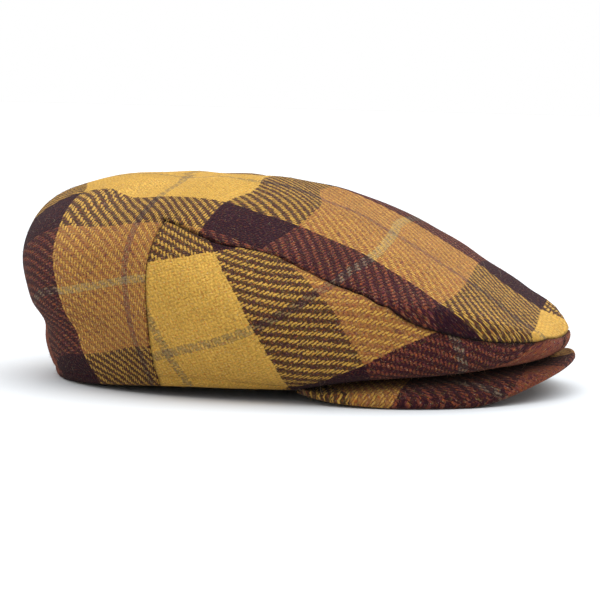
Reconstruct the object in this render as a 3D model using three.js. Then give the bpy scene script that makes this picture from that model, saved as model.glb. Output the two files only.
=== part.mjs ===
// A flat cap of woven tweed: a top panel that runs down the back, two side panels and a peak.
// Millimetres, +X to the front of the cap, +Y to the wearer's left, +Z up, resting on z = 0.
// The pieces are shaped round the crown's upright axis, and the whole is then centred on its box.
import * as THREE from 'three';

// Driving sizes
const crownHeight = 98.7;
const backReach = 105.9; // widest line behind the crown's axis
const peakReach = 161.4; // front edge of the peak ahead of the crown's axis
const rimHalfLength = 100; // outside of the head opening
const rimHalfWidth = 83.7;
const rimAhead = 9.6; // centre of the head opening ahead of the crown's axis
const wall = 2.6; // cloth with its turned-in seam allowances
const gap = 0.3; // between pieces that are sewn together
const seamBevel = 4; // half gaps that the inner edges at the top seam stand back further

// Where the pieces meet, as angles round the crown's axis from the front
const backSeamAngle = 97.3;
const peakEndAngle = 54;

// The rim lies flat at the back and lifts a little at the sides, and the peak holds the front up
const rimSideLift = 5.3;
const rimFlatFrom = 155;
const rimLiftedFrom = 78;
const rimFrontLift = 11.2;
const rimFrontPower = 1.7;
const frontFoldDrop = 1.3;

// A soft crease across the back, above the rim
const creaseDepth = 3.8;
const creaseHeight = 27;
const creaseHalfWidth = 7;
const creaseSpread = 1.5;

// Peak
const peakThickness = 4.6;
const peakEdgeThickness = 3.2;
const peakEndWidth = 2.5;
const peakOutlinePower = 0.68;
const peakArch = 12.2; // height of its front edge above the surface
const peakArchAngle = 25.5; // where its edge comes down to the surface
const peakEndRise = 4;
const peakEndRisePower = 8;
const peakShoulder = 5; // from the bend of its top to its outer edge
const peakBendWeight = 2.1;

// One row for each 30 degrees from the front to the back of the crown.
// bulge: radius and height of the widest line. flatness and fullness: how square the top is, along
// the radius and along the height. turn: height of the turn between rim and bulge, as a share of
// the way. sharpness: how tight that turn is.
const sections = [
  { angle: 0, bulgeRadius: 161.3, bulgeHeight: 27.5, flatness: 1.94, fullness: 0.86, turn: 0.0, sharpness: 1.4 },
  { angle: 30, bulgeRadius: 141.0, bulgeHeight: 44.0, flatness: 1.99, fullness: 0.97, turn: 0.04, sharpness: 3.3 },
  { angle: 60, bulgeRadius: 110.3, bulgeHeight: 42.2, flatness: 1.93, fullness: 1.48, turn: 0.23, sharpness: 1.62 },
  { angle: 90, bulgeRadius: 99.0, bulgeHeight: 49.2, flatness: 2.13, fullness: 1.95, turn: 0.49, sharpness: 1.0 },
  { angle: 120, bulgeRadius: 99.4, bulgeHeight: 54.6, flatness: 2.35, fullness: 2.11, turn: 0.53, sharpness: 0.92 },
  { angle: 150, bulgeRadius: 105.4, bulgeHeight: 55.3, flatness: 2.61, fullness: 2.08, turn: 0.67, sharpness: 0.78 },
  { angle: 180, bulgeRadius: backReach, bulgeHeight: 58.4, flatness: 3.8, fullness: 2.55, turn: 0.72, sharpness: 0.72 },
];

// The seam under the top panel. level runs from 0 at the rim over 1 at the widest line to 2 at the top.
// Behind the back seam the same line only divides the mesh of the top panel.
const topSeam = [
  { angle: 0, level: 1.09 },
  { angle: 5, level: 1.06 },
  { angle: 10, level: 0.955 },
  { angle: 15, level: 0.918 },
  { angle: 22, level: 0.91 },
  { angle: 30, level: 0.935 },
  { angle: 37, level: 0.97 },
  { angle: 41, level: 1.02 },
  { angle: 43.5, level: 1.15 },
  { angle: 50, level: 1.24 },
  { angle: 56, level: 1.315 },
  { angle: 61, level: 1.358 },
  { angle: 69, level: 1.377 },
  { angle: 78, level: 1.372 },
  { angle: 97.3, level: 1.42 },
  { angle: 130, level: 1.42 },
  { angle: 180, level: 1.4 },
];

// Fineness of the faceted surfaces
const sideColumns = 26;
const backColumns = 20;
const skirtRows = 10;
const topRows = 9;
const peakColumns = 28;
const peakRows = 7;

const radians = (degrees) => (degrees * Math.PI) / 180;
const mix = (a, b, share) => a + (b - a) * share;
const clamp = (value, low, high) => Math.min(high, Math.max(low, value));

function smoothStep(low, high, value) {
  const t = clamp((value - low) / (high - low), 0, 1);
  return t * t * (3 - 2 * t);
}

// Angle from the front, from 0 to 180 degrees, on either side
function fromFront(angle) {
  return Math.abs(((((angle + 180) % 360) + 360) % 360) - 180);
}

// Even cosine series through the equally spaced rows of the section table
function sectionColumn(name) {
  const last = sections.length - 1;
  const weights = sections.map((row, index) => (index === 0 || index === last ? 0.5 : 1));
  const terms = sections.map((row, order) => {
    const total = sections.reduce(
      (sum, entry, index) => sum + weights[index] * entry[name] * Math.cos((Math.PI * order * index) / last),
      0,
    );
    return (total * 2 * weights[order]) / last;
  });
  return (angle) => terms.reduce((sum, term, order) => sum + term * Math.cos(order * radians(angle)), 0);
}

const bulgeRadius = sectionColumn('bulgeRadius');
const bulgeHeight = sectionColumn('bulgeHeight');
const flatness = sectionColumn('flatness');
const fullness = sectionColumn('fullness');
const turn = sectionColumn('turn');
const sharpness = sectionColumn('sharpness');

// Cubic Hermite curve through the rows of the seam table, level at both ends
function seamLevel(angle) {
  const from = fromFront(angle);
  const slope = (index) => {
    if (index === 0 || index === topSeam.length - 1) return 0;
    const before = topSeam[index - 1];
    const after = topSeam[index + 1];
    return (after.level - before.level) / (after.angle - before.angle);
  };
  const found = topSeam.findIndex((row) => row.angle >= from);
  const right = Math.max(found, 1);
  const a = topSeam[right - 1];
  const b = topSeam[right];
  const span = b.angle - a.angle;
  const t = (from - a.angle) / span;
  const rise = t * t * (3 - 2 * t);
  return (
    mix(a.level, b.level, rise) + span * (slope(right - 1) * t * (1 - t) ** 2 - slope(right) * t * t * (1 - t))
  );
}

// Radius of the oval head opening, seen from the crown's axis
function rimRadius(angle) {
  const c = Math.cos(radians(angle));
  const s = Math.sin(radians(angle));
  const a = (c / rimHalfLength) ** 2 + (s / rimHalfWidth) ** 2;
  const b = (-2 * rimAhead * c) / rimHalfLength ** 2;
  const d = (rimAhead / rimHalfLength) ** 2 - 1;
  return (-b + Math.sqrt(b * b - 4 * a * d)) / (2 * a);
}

function peakShare(angle) {
  return clamp(fromFront(angle) / peakEndAngle, 0, 1);
}

function rimHeight(angle) {
  const sides = rimSideLift * smoothStep(rimFlatFrom, rimLiftedFrom, fromFront(angle));
  return sides + rimFrontLift * (1 - peakShare(angle) ** rimFrontPower);
}

// Rational quadratic curve with its middle point pulled by a weight
function conic(start, corner, end, weight, t) {
  const parts = [(1 - t) ** 2, 2 * t * (1 - t) * weight, t * t];
  const total = parts[0] + parts[1] + parts[2];
  return (start * parts[0] + corner * parts[1] + end * parts[2]) / total;
}

function onAxis(angle, radius, height) {
  const turned = radians(angle);
  return new THREE.Vector3(radius * Math.cos(turned), radius * Math.sin(turned), height);
}

// Outer surface of the crown
function crownPoint(angle, level) {
  const from = fromFront(angle);
  const widest = bulgeRadius(angle);
  const widestHeight = bulgeHeight(angle);
  let radius;
  let height;
  if (level <= 1) {
    const start = rimHeight(angle);
    const fold = start - frontFoldDrop * (1 - peakShare(angle) ** 2);
    const corner = mix(fold, widestHeight, Math.max(turn(angle), 0));
    radius = conic(rimRadius(angle), widest, widest, sharpness(angle), level);
    height = conic(start, corner, widestHeight, sharpness(angle), level);
  } else {
    const swing = ((level - 1) * Math.PI) / 2;
    radius = widest * Math.max(Math.cos(swing), 0) ** (2 / flatness(angle));
    height = widestHeight + (crownHeight - widestHeight) * Math.sin(swing) ** (2 / fullness(angle));
  }
  const behind = Math.max(-Math.cos(radians(from)), 0) ** creaseSpread;
  const crease = creaseDepth * behind * Math.exp(-(((height - creaseHeight) / creaseHalfWidth) ** 2));
  return onAxis(angle, radius - crease, height);
}

// Inner surface of the crown, square to the outer one, and level at the rim outside the peak
function crownInside(angle, level) {
  if (level >= 2) return new THREE.Vector3(0, 0, crownHeight - wall);
  const step = 0.05;
  const low = Math.max(level - step, 0);
  const along = crownPoint(angle, Math.min(level + step, 2)).sub(crownPoint(angle, low));
  const around = crownPoint(angle + 1, level).sub(crownPoint(angle - 1, level));
  const outward = around.cross(along).normalize();
  if (level === 0) outward.z *= 1 - smoothStep(peakEndAngle, peakEndAngle + 20, fromFront(angle));
  return crownPoint(angle, level).addScaledVector(outward.normalize(), -wall);
}

// Change of level that moves a point of the crown along its meridian by half a gap
function halfGapLevel(angle, level) {
  const step = 0.005;
  return (gap / 2) * (step / crownPoint(angle, level + step).distanceTo(crownPoint(angle, level)));
}

// Change of angle that moves a point of the crown sideways by half a gap
function halfGapAngle(angle, level) {
  return (gap / 2) * (1 / crownPoint(angle + 1, level).distanceTo(crownPoint(angle, level)));
}

// Triangles of a grid whose rows run from the rim upwards and whose columns run to the left
function gridFaces(rows, columns, index) {
  const faces = [];
  for (let row = 0; row < rows; row += 1) {
    for (let column = 0; column < columns; column += 1) {
      const a = index(row, column);
      const b = index(row, column + 1);
      const c = index(row + 1, column + 1);
      const d = index(row + 1, column);
      faces.push([a, b, c], [a, c, d]);
    }
  }
  return faces;
}

// Closed wall between an outer and an inner sheet with the same faces, joined along the free edges
function closedShell(outer, inner, faces) {
  const count = outer.length;
  const halfEdges = new Set();
  faces.forEach(([a, b, c]) => {
    [[a, b], [b, c], [c, a]].forEach(([from, to]) => halfEdges.add(`${from}_${to}`));
  });
  const all = faces.flatMap(([a, b, c]) => [[a, b, c], [a + count, c + count, b + count]]);
  halfEdges.forEach((edge) => {
    const [from, to] = edge.split('_').map(Number);
    if (halfEdges.has(`${to}_${from}`)) return;
    all.push([from, from + count, to + count], [from, to + count, to]);
  });
  const geometry = new THREE.BufferGeometry();
  const positions = [...outer, ...inner].flatMap((point) => [point.x, point.y, point.z]);
  geometry.setAttribute('position', new THREE.Float32BufferAttribute(positions, 3));
  geometry.setIndex(all.flat());
  geometry.computeVertexNormals();
  return geometry;
}

// Side panel, from the plain seam at the centre of the front to the back seam.
// side is 1 on the wearer's left and -1 on the right.
function sidePanel(side) {
  const outer = [];
  const inner = [];
  for (let row = 0; row <= skirtRows; row += 1) {
    for (let column = 0; column <= sideColumns; column += 1) {
      const share = column / sideColumns;
      const middle = side * backSeamAngle * share;
      const seam = seamLevel(middle);
      const step = halfGapLevel(middle, seam);
      const level = ((seam - step) * row) / skirtRows;
      const trim = halfGapAngle(middle, level);
      const angle = clamp(Math.abs(middle), trim, backSeamAngle - trim) * side;
      const bevel = row === skirtRows ? seamBevel * step : 0;
      outer.push(crownPoint(angle, level));
      inner.push(crownInside(angle, level - bevel));
    }
  }
  const faces = gridFaces(skirtRows, sideColumns, (row, column) => row * (sideColumns + 1) + column);
  return closedShell(outer, inner, side > 0 ? faces : faces.map(([a, b, c]) => [a, c, b]));
}

// Top panel: a round sheet above the seam, and a skirt from it down the back to the rim
function topPanel() {
  const outer = [];
  const inner = [];
  const faces = [];
  const place = (angle, level, bevel = 0) => {
    outer.push(crownPoint(angle, level));
    inner.push(crownInside(angle, level + bevel));
  };
  const angles = [];
  for (let column = 0; column < 2 * sideColumns; column += 1) {
    angles.push(mix(-backSeamAngle, backSeamAngle, column / (2 * sideColumns)));
  }
  for (let column = 0; column < backColumns; column += 1) {
    angles.push(mix(backSeamAngle, 360 - backSeamAngle, column / backColumns));
  }
  const around = angles.length;
  for (let row = 0; row < topRows; row += 1) {
    angles.forEach((angle, column) => {
      const seam = seamLevel(angle);
      const onSeam = column <= 2 * sideColumns;
      const trim = onSeam ? halfGapLevel(angle, seam) : 0;
      const corner = row === 0 && column % (2 * sideColumns) === 0;
      const aside = corner ? Math.sign(column - 1) * halfGapAngle(angle, seam) : 0;
      place(angle + aside, mix(seam + trim, 2, row / topRows), row === 0 ? seamBevel * trim : 0);
    });
  }
  place(0, 2);
  const apex = outer.length - 1;
  faces.push(...gridFaces(topRows - 1, around, (row, column) => row * around + (column % around)));
  for (let column = 0; column < around; column += 1) {
    const row = (topRows - 1) * around;
    faces.push([row + column, row + ((column + 1) % around), apex]);
  }
  const skirtStart = outer.length;
  for (let row = 0; row < skirtRows; row += 1) {
    for (let column = 0; column <= backColumns; column += 1) {
      const middle = mix(backSeamAngle, 360 - backSeamAngle, column / backColumns);
      const level = (seamLevel(middle) * row) / skirtRows;
      const trim = halfGapAngle(middle, level);
      place(clamp(middle, backSeamAngle + trim, 360 - backSeamAngle - trim), level);
    }
  }
  const skirtIndex = (row, column) => {
    if (row === skirtRows) return (2 * sideColumns + column) % around;
    return skirtStart + row * (backColumns + 1) + column;
  };
  faces.push(...gridFaces(skirtRows, backColumns, skirtIndex));
  return closedShell(outer, inner, faces);
}

function peakOuterRadius(angle) {
  const reach = peakReach - rimRadius(0) - peakEndWidth;
  return rimRadius(angle) + peakEndWidth + reach * (1 - peakShare(angle) ** 2) ** peakOutlinePower;
}

// Height of the lowest line of the peak's edge
function peakEdgeHeight(angle) {
  const swing = Math.min(fromFront(angle) / peakArchAngle, 1) * 90;
  const arch = peakArch * Math.max(Math.cos(radians(swing)), 0) ** 1.5;
  return arch + peakEndRise * peakShare(angle) ** peakEndRisePower;
}

// Height at which the top of the peak ends, so that its rounded edge reaches down to the lowest line
function peakEdgeMiddle(low, bendHeight, run) {
  const depth = (peakThickness + peakEdgeThickness) / 2;
  let edge = low;
  for (let pass = 0; pass < 12; pass += 1) {
    edge = low + depth * Math.cos(Math.atan2(bendHeight - edge, run));
  }
  return edge;
}

// Section of the peak: top and underside points at a share of the way from the head to its edge
function peakSection(angle, share) {
  const inside = rimRadius(angle) - wall;
  const outside = peakOuterRadius(angle);
  const width = outside - inside;
  const bend = inside + width * (1 - Math.min(peakShoulder / width, 0.5));
  const top = rimHeight(angle) - gap;
  const bendHeight = top - frontFoldDrop * (1 - peakShare(angle) ** 2) - gap;
  const low = peakEdgeHeight(angle);
  const edge = peakEdgeMiddle(low, bendHeight, outside - bend);
  const at = (t) => new THREE.Vector2(
    conic(inside, bend, outside, peakBendWeight, t),
    conic(top, bendHeight, edge, peakBendWeight, t),
  );
  const point = at(share);
  const along = at(Math.min(share + 0.01, 1)).sub(at(Math.max(share - 0.01, 0))).normalize();
  const down = new THREE.Vector2(along.y, -along.x);
  const thickness = mix(peakThickness, peakEdgeThickness, smoothStep(0.8, 1, share));
  const round = (peakThickness - thickness) / 2;
  const upper = point.clone().addScaledVector(down, round);
  const under = point.clone().addScaledVector(down, round + thickness);
  under.y = Math.max(under.y, low);
  return [onAxis(angle, upper.x, upper.y), onAxis(angle, under.x, under.y)];
}

function peakBoard() {
  const upper = [];
  const under = [];
  for (let row = 0; row <= peakRows; row += 1) {
    for (let column = 0; column <= peakColumns; column += 1) {
      const angle = mix(-peakEndAngle, peakEndAngle, column / peakColumns);
      const [top, bottom] = peakSection(angle, row / peakRows);
      upper.push(top);
      under.push(bottom);
    }
  }
  const faces = gridFaces(peakRows, peakColumns, (row, column) => row * (peakColumns + 1) + column);
  return closedShell(upper, under, faces.map(([a, b, c]) => [a, c, b]));
}

function piece(name, geometry, colour) {
  const material = new THREE.MeshStandardMaterial({ color: colour, roughness: 0.95, metalness: 0 });
  const mesh = new THREE.Mesh(geometry, material);
  mesh.name = name;
  return mesh;
}

const cap = new THREE.Group();
cap.add(piece('top_panel', topPanel(), 0xb98a45));
cap.add(piece('side_panel_right', sidePanel(-1), 0xa87a3a));
cap.add(piece('side_panel_left', sidePanel(1), 0xa87a3a));
cap.add(piece('peak', peakBoard(), 0x6b3f35));

const box = new THREE.Box3().setFromObject(cap);
cap.position.x = -(box.min.x + box.max.x) / 2;

export default cap;
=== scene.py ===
"""Looks of a flat cap of woven plaid tweed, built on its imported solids.

The top panel, the two side panels and the peak are shells of cloth that follow the same driving
sizes as the solids. Lengths are in millimetres until a mesh is made. Angles run round the crown's
upright axis in degrees, 0 at the front, positive on the wearer's left. Levels run up the crown: 0 at
the rim, 1 at its widest line and 2 at the top.
"""

import logging
import math
from dataclasses import dataclass
from enum import Enum

import bpy
import numpy as np
from mathutils import Matrix, Vector


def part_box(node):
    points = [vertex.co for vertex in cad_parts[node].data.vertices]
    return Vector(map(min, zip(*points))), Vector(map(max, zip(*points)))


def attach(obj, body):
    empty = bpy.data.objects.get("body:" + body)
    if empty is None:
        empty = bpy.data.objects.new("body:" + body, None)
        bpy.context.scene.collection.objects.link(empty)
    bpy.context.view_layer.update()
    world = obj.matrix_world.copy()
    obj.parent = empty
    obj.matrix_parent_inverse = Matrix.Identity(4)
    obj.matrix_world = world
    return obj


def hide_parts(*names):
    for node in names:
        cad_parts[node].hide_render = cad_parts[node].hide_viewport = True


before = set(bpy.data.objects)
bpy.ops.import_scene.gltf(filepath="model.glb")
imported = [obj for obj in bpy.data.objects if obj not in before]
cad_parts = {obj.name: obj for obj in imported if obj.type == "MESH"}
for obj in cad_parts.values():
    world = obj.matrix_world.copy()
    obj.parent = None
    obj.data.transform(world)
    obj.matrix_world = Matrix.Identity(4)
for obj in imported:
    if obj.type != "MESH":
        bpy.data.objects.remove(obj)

MM = 0.001
LOG = logging.getLogger("tweed_cap")
CLOTH = "cloth"
ANGLE_STEP = 0.5  # to either side, for slopes round the crown
LEVEL_STEP = 0.02  # to either side, for slopes up the crown
MM_PER_DEGREE = 1.7  # roughly, round the crown
WIDEST_LINE_POINTS = 721


class Side(Enum):
    """The wearer's two sides."""

    LEFT = 1
    RIGHT = -1


@dataclass(frozen=True)
class SectionRow:
    """A section of the crown from its axis outwards, at one angle from the front.

    The first four columns after the angle are the solids' own. The cloth columns say where the top
    panel's plaid lies: along and across the cap, half way to the widest line and on it.
    """

    angle: float
    bulge_radius: float
    bulge_height: float
    flatness: float
    fullness: float
    turn: float
    sharpness: float
    along_half: float
    along_edge: float
    across_half: float
    across_edge: float


SECTIONS = (
    SectionRow(0, 161.3, 27.5, 1.94, 0.86, 0.0, 1.4, 92.0, 163.3, 0.0, 0.0),
    SectionRow(30, 141.0, 44.0, 1.99, 0.97, 0.04, 3.3, 64.2, 129.3, 33.2, 63.7),
    SectionRow(60, 110.3, 42.2, 1.93, 1.48, 0.23, 1.62, 32.5, 84.4, 57.5, 108.9),
    SectionRow(90, 99.0, 49.2, 2.13, 1.95, 0.49, 1.0, 4.2, 11.6, 62.7, 123.2),
    SectionRow(120, 99.4, 54.6, 2.35, 2.11, 0.53, 0.92, -40.1, -59.7, 53.7, 110.7),
    SectionRow(150, 105.4, 55.3, 2.61, 2.08, 0.67, 0.78, -57.2, -98.2, 55.7, 96.8),
    SectionRow(180, 105.9, 58.4, 3.8, 2.55, 0.72, 0.72, -72.4, -124.6, 0.0, 0.0),
)


@dataclass(frozen=True)
class SeamRow:
    """A point of the seam under the top panel."""

    angle: float
    level: float


TOP_SEAM = (
    SeamRow(0, 1.09),
    SeamRow(5, 1.06),
    SeamRow(10, 0.955),
    SeamRow(15, 0.918),
    SeamRow(22, 0.91),
    SeamRow(30, 0.935),
    SeamRow(37, 0.97),
    SeamRow(41, 1.02),
    SeamRow(43.5, 1.15),
    SeamRow(50, 1.24),
    SeamRow(56, 1.315),
    SeamRow(61, 1.358),
    SeamRow(69, 1.377),
    SeamRow(78, 1.372),
    SeamRow(97.3, 1.42),
    SeamRow(130, 1.42),
    SeamRow(180, 1.4),
)


def column(name: str) -> np.ndarray:
    """Returns one column of the section table."""
    return np.array([getattr(row, name) for row in SECTIONS], float)


def even_series(name: str, angle: np.ndarray) -> np.ndarray:
    """Runs an even cosine series through the equally spaced rows of a column.

    Args:
        name: The column of the section table.
        angle: Angles in degrees.

    Returns:
        The column's value at each angle.
    """
    values = column(name)
    last = len(values) - 1
    index = np.arange(last + 1)
    weights = np.where((index == 0) | (index == last), 0.5, 1.0)
    total = np.zeros_like(angle, dtype=float)
    for order in range(last + 1):
        term = 2 / last * weights[order] * np.sum(weights * values * np.cos(np.pi * order * index / last))
        total += term * np.cos(order * np.radians(angle))
    return total


def odd_series(name: str, angle: np.ndarray) -> np.ndarray:
    """Runs an odd sine series through the equally spaced rows of a column.

    Args:
        name: The column of the section table.
        angle: Angles in degrees.

    Returns:
        The column's value at each angle, with the other sign on the other side.
    """
    values = column(name)
    last = len(values) - 1
    index = np.arange(last + 1)
    total = np.zeros_like(angle, dtype=float)
    for order in range(1, last):
        term = 2 / last * np.sum(values * np.sin(np.pi * order * index / last))
        total += term * np.sin(order * np.radians(angle))
    return total


def from_front(angle: np.ndarray) -> np.ndarray:
    """Returns angles from the front, from 0 to 180 degrees, on either side."""
    return np.abs((np.asarray(angle, float) + 180) % 360 - 180)


def signed_angle(angle: np.ndarray) -> np.ndarray:
    """Returns angles from -180 to 180 degrees, positive on the wearer's left."""
    return (np.asarray(angle) + 180) % 360 - 180


def smooth_step(low: float, high: float, value: np.ndarray) -> np.ndarray:
    """Returns 0 at low and 1 at high, with a smooth rise between."""
    t = np.clip((value - low) / (high - low), 0, 1)
    return t * t * (3 - 2 * t)


def conic(
    start: np.ndarray, corner: np.ndarray, end: np.ndarray, weight: np.ndarray, t: np.ndarray
) -> np.ndarray:
    """Rational quadratic curve with its middle point pulled by a weight.

    Args:
        start: Value at the start.
        corner: Value that the curve is pulled towards.
        end: Value at the end.
        weight: How strongly it is pulled.
        t: Share of the way.

    Returns:
        The curve's value at t.
    """
    first = (1 - t) ** 2
    middle = 2 * t * (1 - t) * weight
    third = t * t
    return (start * first + corner * middle + end * third) / (first + middle + third)


def bell(value: np.ndarray, middle: float, width: float) -> np.ndarray:
    """Returns a bell curve of height 1 round a middle value."""
    return np.exp(-(((value - middle) / width) ** 2))


@dataclass(frozen=True)
class CrownForm:
    """The crown's outer surface, with the solids' own sizes."""

    height: float = 98.7
    back_reach: float = 105.9
    rim_half_length: float = 100.0
    rim_half_width: float = 83.7
    rim_ahead: float = 9.6
    back_seam_angle: float = 97.3
    peak_end_angle: float = 54.0
    rim_side_lift: float = 5.3
    rim_flat_from: float = 155.0
    rim_lifted_from: float = 78.0
    rim_front_lift: float = 11.2
    rim_front_power: float = 1.7
    front_fold_drop: float = 1.3
    crease_depth: float = 3.8
    crease_height: float = 27.0
    crease_half_width: float = 7.0
    crease_spread: float = 1.5
    rim_upright_turn: float = 20.0
    rim_upright_level: float = 0.12

    def seam_level(self, angle: np.ndarray) -> np.ndarray:
        """Level of the top seam, as a cubic Hermite curve through its table.

        Args:
            angle: Angles in degrees.

        Returns:
            The level at each angle.
        """
        angles = np.array([row.angle for row in TOP_SEAM])
        levels = np.array([row.level for row in TOP_SEAM])
        slopes = np.zeros_like(levels)
        slopes[1:-1] = (levels[2:] - levels[:-2]) / (angles[2:] - angles[:-2])
        wanted = from_front(angle)
        right = np.clip(np.searchsorted(angles, wanted), 1, len(angles) - 1)
        left = right - 1
        span = angles[right] - angles[left]
        t = (wanted - angles[left]) / span
        rise = t * t * (3 - 2 * t)
        bend = span * (slopes[left] * t * (1 - t) ** 2 - slopes[right] * t * t * (1 - t))
        return levels[left] + (levels[right] - levels[left]) * rise + bend

    def rim_radius(self, angle: np.ndarray) -> np.ndarray:
        """Radius of the oval head opening, seen from the crown's axis.

        Args:
            angle: Angles in degrees.

        Returns:
            The radius at each angle.
        """
        ahead = np.cos(np.radians(angle))
        aside = np.sin(np.radians(angle))
        square = (ahead / self.rim_half_length) ** 2 + (aside / self.rim_half_width) ** 2
        linear = -2 * self.rim_ahead * ahead / self.rim_half_length**2
        rest = (self.rim_ahead / self.rim_half_length) ** 2 - 1
        return (-linear + np.sqrt(linear * linear - 4 * square * rest)) / (2 * square)

    def peak_share(self, angle: np.ndarray) -> np.ndarray:
        """Returns the share of the way from the front to the end of the peak."""
        return np.clip(from_front(angle) / self.peak_end_angle, 0, 1)

    def rim_height(self, angle: np.ndarray) -> np.ndarray:
        """Height of the rim above the surface that the cap rests on.

        Args:
            angle: Angles in degrees.

        Returns:
            The height at each angle.
        """
        away = from_front(angle)
        sides = self.rim_side_lift * (1 - smooth_step(self.rim_lifted_from, self.rim_flat_from, away))
        return sides + self.rim_front_lift * (1 - self.peak_share(angle) ** self.rim_front_power)

    def point(self, angle: np.ndarray, level: np.ndarray) -> np.ndarray:
        """Outer surface of the crown.

        Args:
            angle: Angles in degrees.
            level: Levels, of a shape that goes with the angles.

        Returns:
            Points in millimetres, with the coordinates on the last axis.
        """
        angle, level = np.broadcast_arrays(np.asarray(angle, float), np.asarray(level, float))
        widest = even_series("bulge_radius", angle)
        middle = even_series("bulge_height", angle)
        low = np.clip(level, 0, 1)
        rim = self.rim_height(angle)
        fold = rim - self.front_fold_drop * (1 - self.peak_share(angle) ** 2)
        corner = fold + (middle - fold) * np.maximum(even_series("turn", angle), 0)
        weight = even_series("sharpness", angle)
        low_radius = conic(self.rim_radius(angle), widest, widest, weight, low)
        low_height = conic(rim, corner, middle, weight, low)
        swing = (np.clip(level, 1, 2) - 1) * np.pi / 2
        top_radius = widest * np.maximum(np.cos(swing), 0) ** (2 / even_series("flatness", angle))
        rise = np.maximum(np.sin(swing), 0) ** (2 / even_series("fullness", angle))
        top_height = middle + (self.height - middle) * rise
        radius = np.where(level <= 1, low_radius, top_radius)
        height = np.where(level <= 1, low_height, top_height)
        behind = np.maximum(-np.cos(np.radians(angle)), 0) ** self.crease_spread
        crease = bell(height, self.crease_height, self.crease_half_width)
        radius = radius - self.crease_depth * behind * crease
        turned = np.radians(angle)
        return np.stack([radius * np.cos(turned), radius * np.sin(turned), height], axis=-1)

    def outward(self, angle: np.ndarray, level: np.ndarray) -> np.ndarray:
        """Unit normals of the outer surface, turned level at the rim where no peak is.

        Args:
            angle: Angles in degrees.
            level: Levels, of a shape that goes with the angles.

        Returns:
            Unit vectors, with the coordinates on the last axis.
        """
        angle, level = np.broadcast_arrays(np.asarray(angle, float), np.asarray(level, float))
        below = np.clip(level - LEVEL_STEP, 0, 2 - 2 * LEVEL_STEP)
        along = self.point(angle, np.clip(level + LEVEL_STEP, 2 * LEVEL_STEP, 2)) - self.point(angle, below)
        held = np.minimum(level, 2 - LEVEL_STEP)
        around = self.point(angle + ANGLE_STEP, held) - self.point(angle - ANGLE_STEP, held)
        normal = np.cross(around, along)
        normal /= np.linalg.norm(normal, axis=-1, keepdims=True)
        upright_from = self.peak_end_angle + self.rim_upright_turn
        free = smooth_step(self.peak_end_angle, upright_from, from_front(angle))
        near = 1 - smooth_step(0.0, self.rim_upright_level, level)
        normal[..., 2] *= 1 - free * near
        normal /= np.linalg.norm(normal, axis=-1, keepdims=True)
        normal[level >= 2 - LEVEL_STEP / 4] = (0, 0, 1)
        return normal


CROWN = CrownForm()


class Meridians:
    """Arc lengths up the crown along a set of angles."""

    FINENESS = 360
    ROUNDING = 3.2
    ROUNDING_STEPS = (-1, -0.5, 0, 0.5, 1)

    def __init__(self, angles: np.ndarray) -> None:
        """Measures the crown along each angle.

        Args:
            angles: Angles in degrees, one for each column of a mesh.
        """
        self.angles = angles
        low = np.linspace(0, 1, self.FINENESS // 2, endpoint=False)
        swing = np.linspace(0, 1, self.FINENESS // 2 + 1)
        self.levels = np.concatenate([low, 1 + swing])
        points = CROWN.point(angles[:, None], self.levels[None, :])
        steps = np.linalg.norm(np.diff(points, axis=1), axis=-1)
        self.arcs = np.concatenate([np.zeros((len(angles), 1)), np.cumsum(steps, axis=1)], axis=1)
        self.widest = self.arcs[:, self.FINENESS // 2]

    def arc_at(self, levels: np.ndarray) -> np.ndarray:
        """Arc length from the rim.

        Args:
            levels: Levels as (columns, rows) or (columns,).

        Returns:
            Arc lengths in millimetres, in the same shape.
        """
        rows = levels if levels.ndim == 2 else levels[:, None]
        found = np.stack([np.interp(row, self.levels, arcs) for row, arcs in zip(rows, self.arcs)])
        return found if levels.ndim == 2 else found[:, 0]

    def level_at(self, arcs: np.ndarray) -> np.ndarray:
        """Level at arc lengths from the rim.

        Args:
            arcs: Arc lengths in millimetres, as (columns, rows).

        Returns:
            Levels in the same shape.
        """
        return np.stack([np.interp(row, own, self.levels) for row, own in zip(arcs, self.arcs)])

    def above_widest(self, levels: np.ndarray) -> np.ndarray:
        """Returns arc lengths from the widest line, positive above it, for (columns, rows) of levels."""
        return self.arc_at(levels) - self.widest[:, None]

    def reach(self) -> np.ndarray:
        """Returns the arc length from the widest line to the top, for each column."""
        return self.arcs[:, -1] - self.widest

    def surface(self, levels: np.ndarray) -> tuple[np.ndarray, np.ndarray]:
        """The crown's surface, rounded where it folds over at the widest line.

        Args:
            levels: Levels as (columns, rows).

        Returns:
            Points, and unit vectors that point outwards.
        """
        angle = self.angles[:, None] * np.ones_like(levels)
        arcs = self.arc_at(levels)
        folded = 1 - smooth_step(self.ROUNDING, 3 * self.ROUNDING, np.abs(arcs - self.widest[:, None]))
        offsets = [self.ROUNDING * step for step in self.ROUNDING_STEPS]
        spots = [CROWN.point(angle, self.level_at(arcs + offset)) for offset in offsets]
        rounded = (spots[0] + 2 * spots[1] + 2 * spots[2] + 2 * spots[3] + spots[4]) / 8
        around = CROWN.point(angle + ANGLE_STEP, levels) - CROWN.point(angle - ANGLE_STEP, levels)
        turned = np.cross(around, spots[4] - spots[0])
        turned /= np.linalg.norm(turned, axis=-1, keepdims=True)
        points = spots[2] + (rounded - spots[2]) * folded[..., None]
        outward = CROWN.outward(angle, levels)
        outward = outward + (turned - outward) * folded[..., None]
        return points, outward / np.linalg.norm(outward, axis=-1, keepdims=True)


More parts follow.
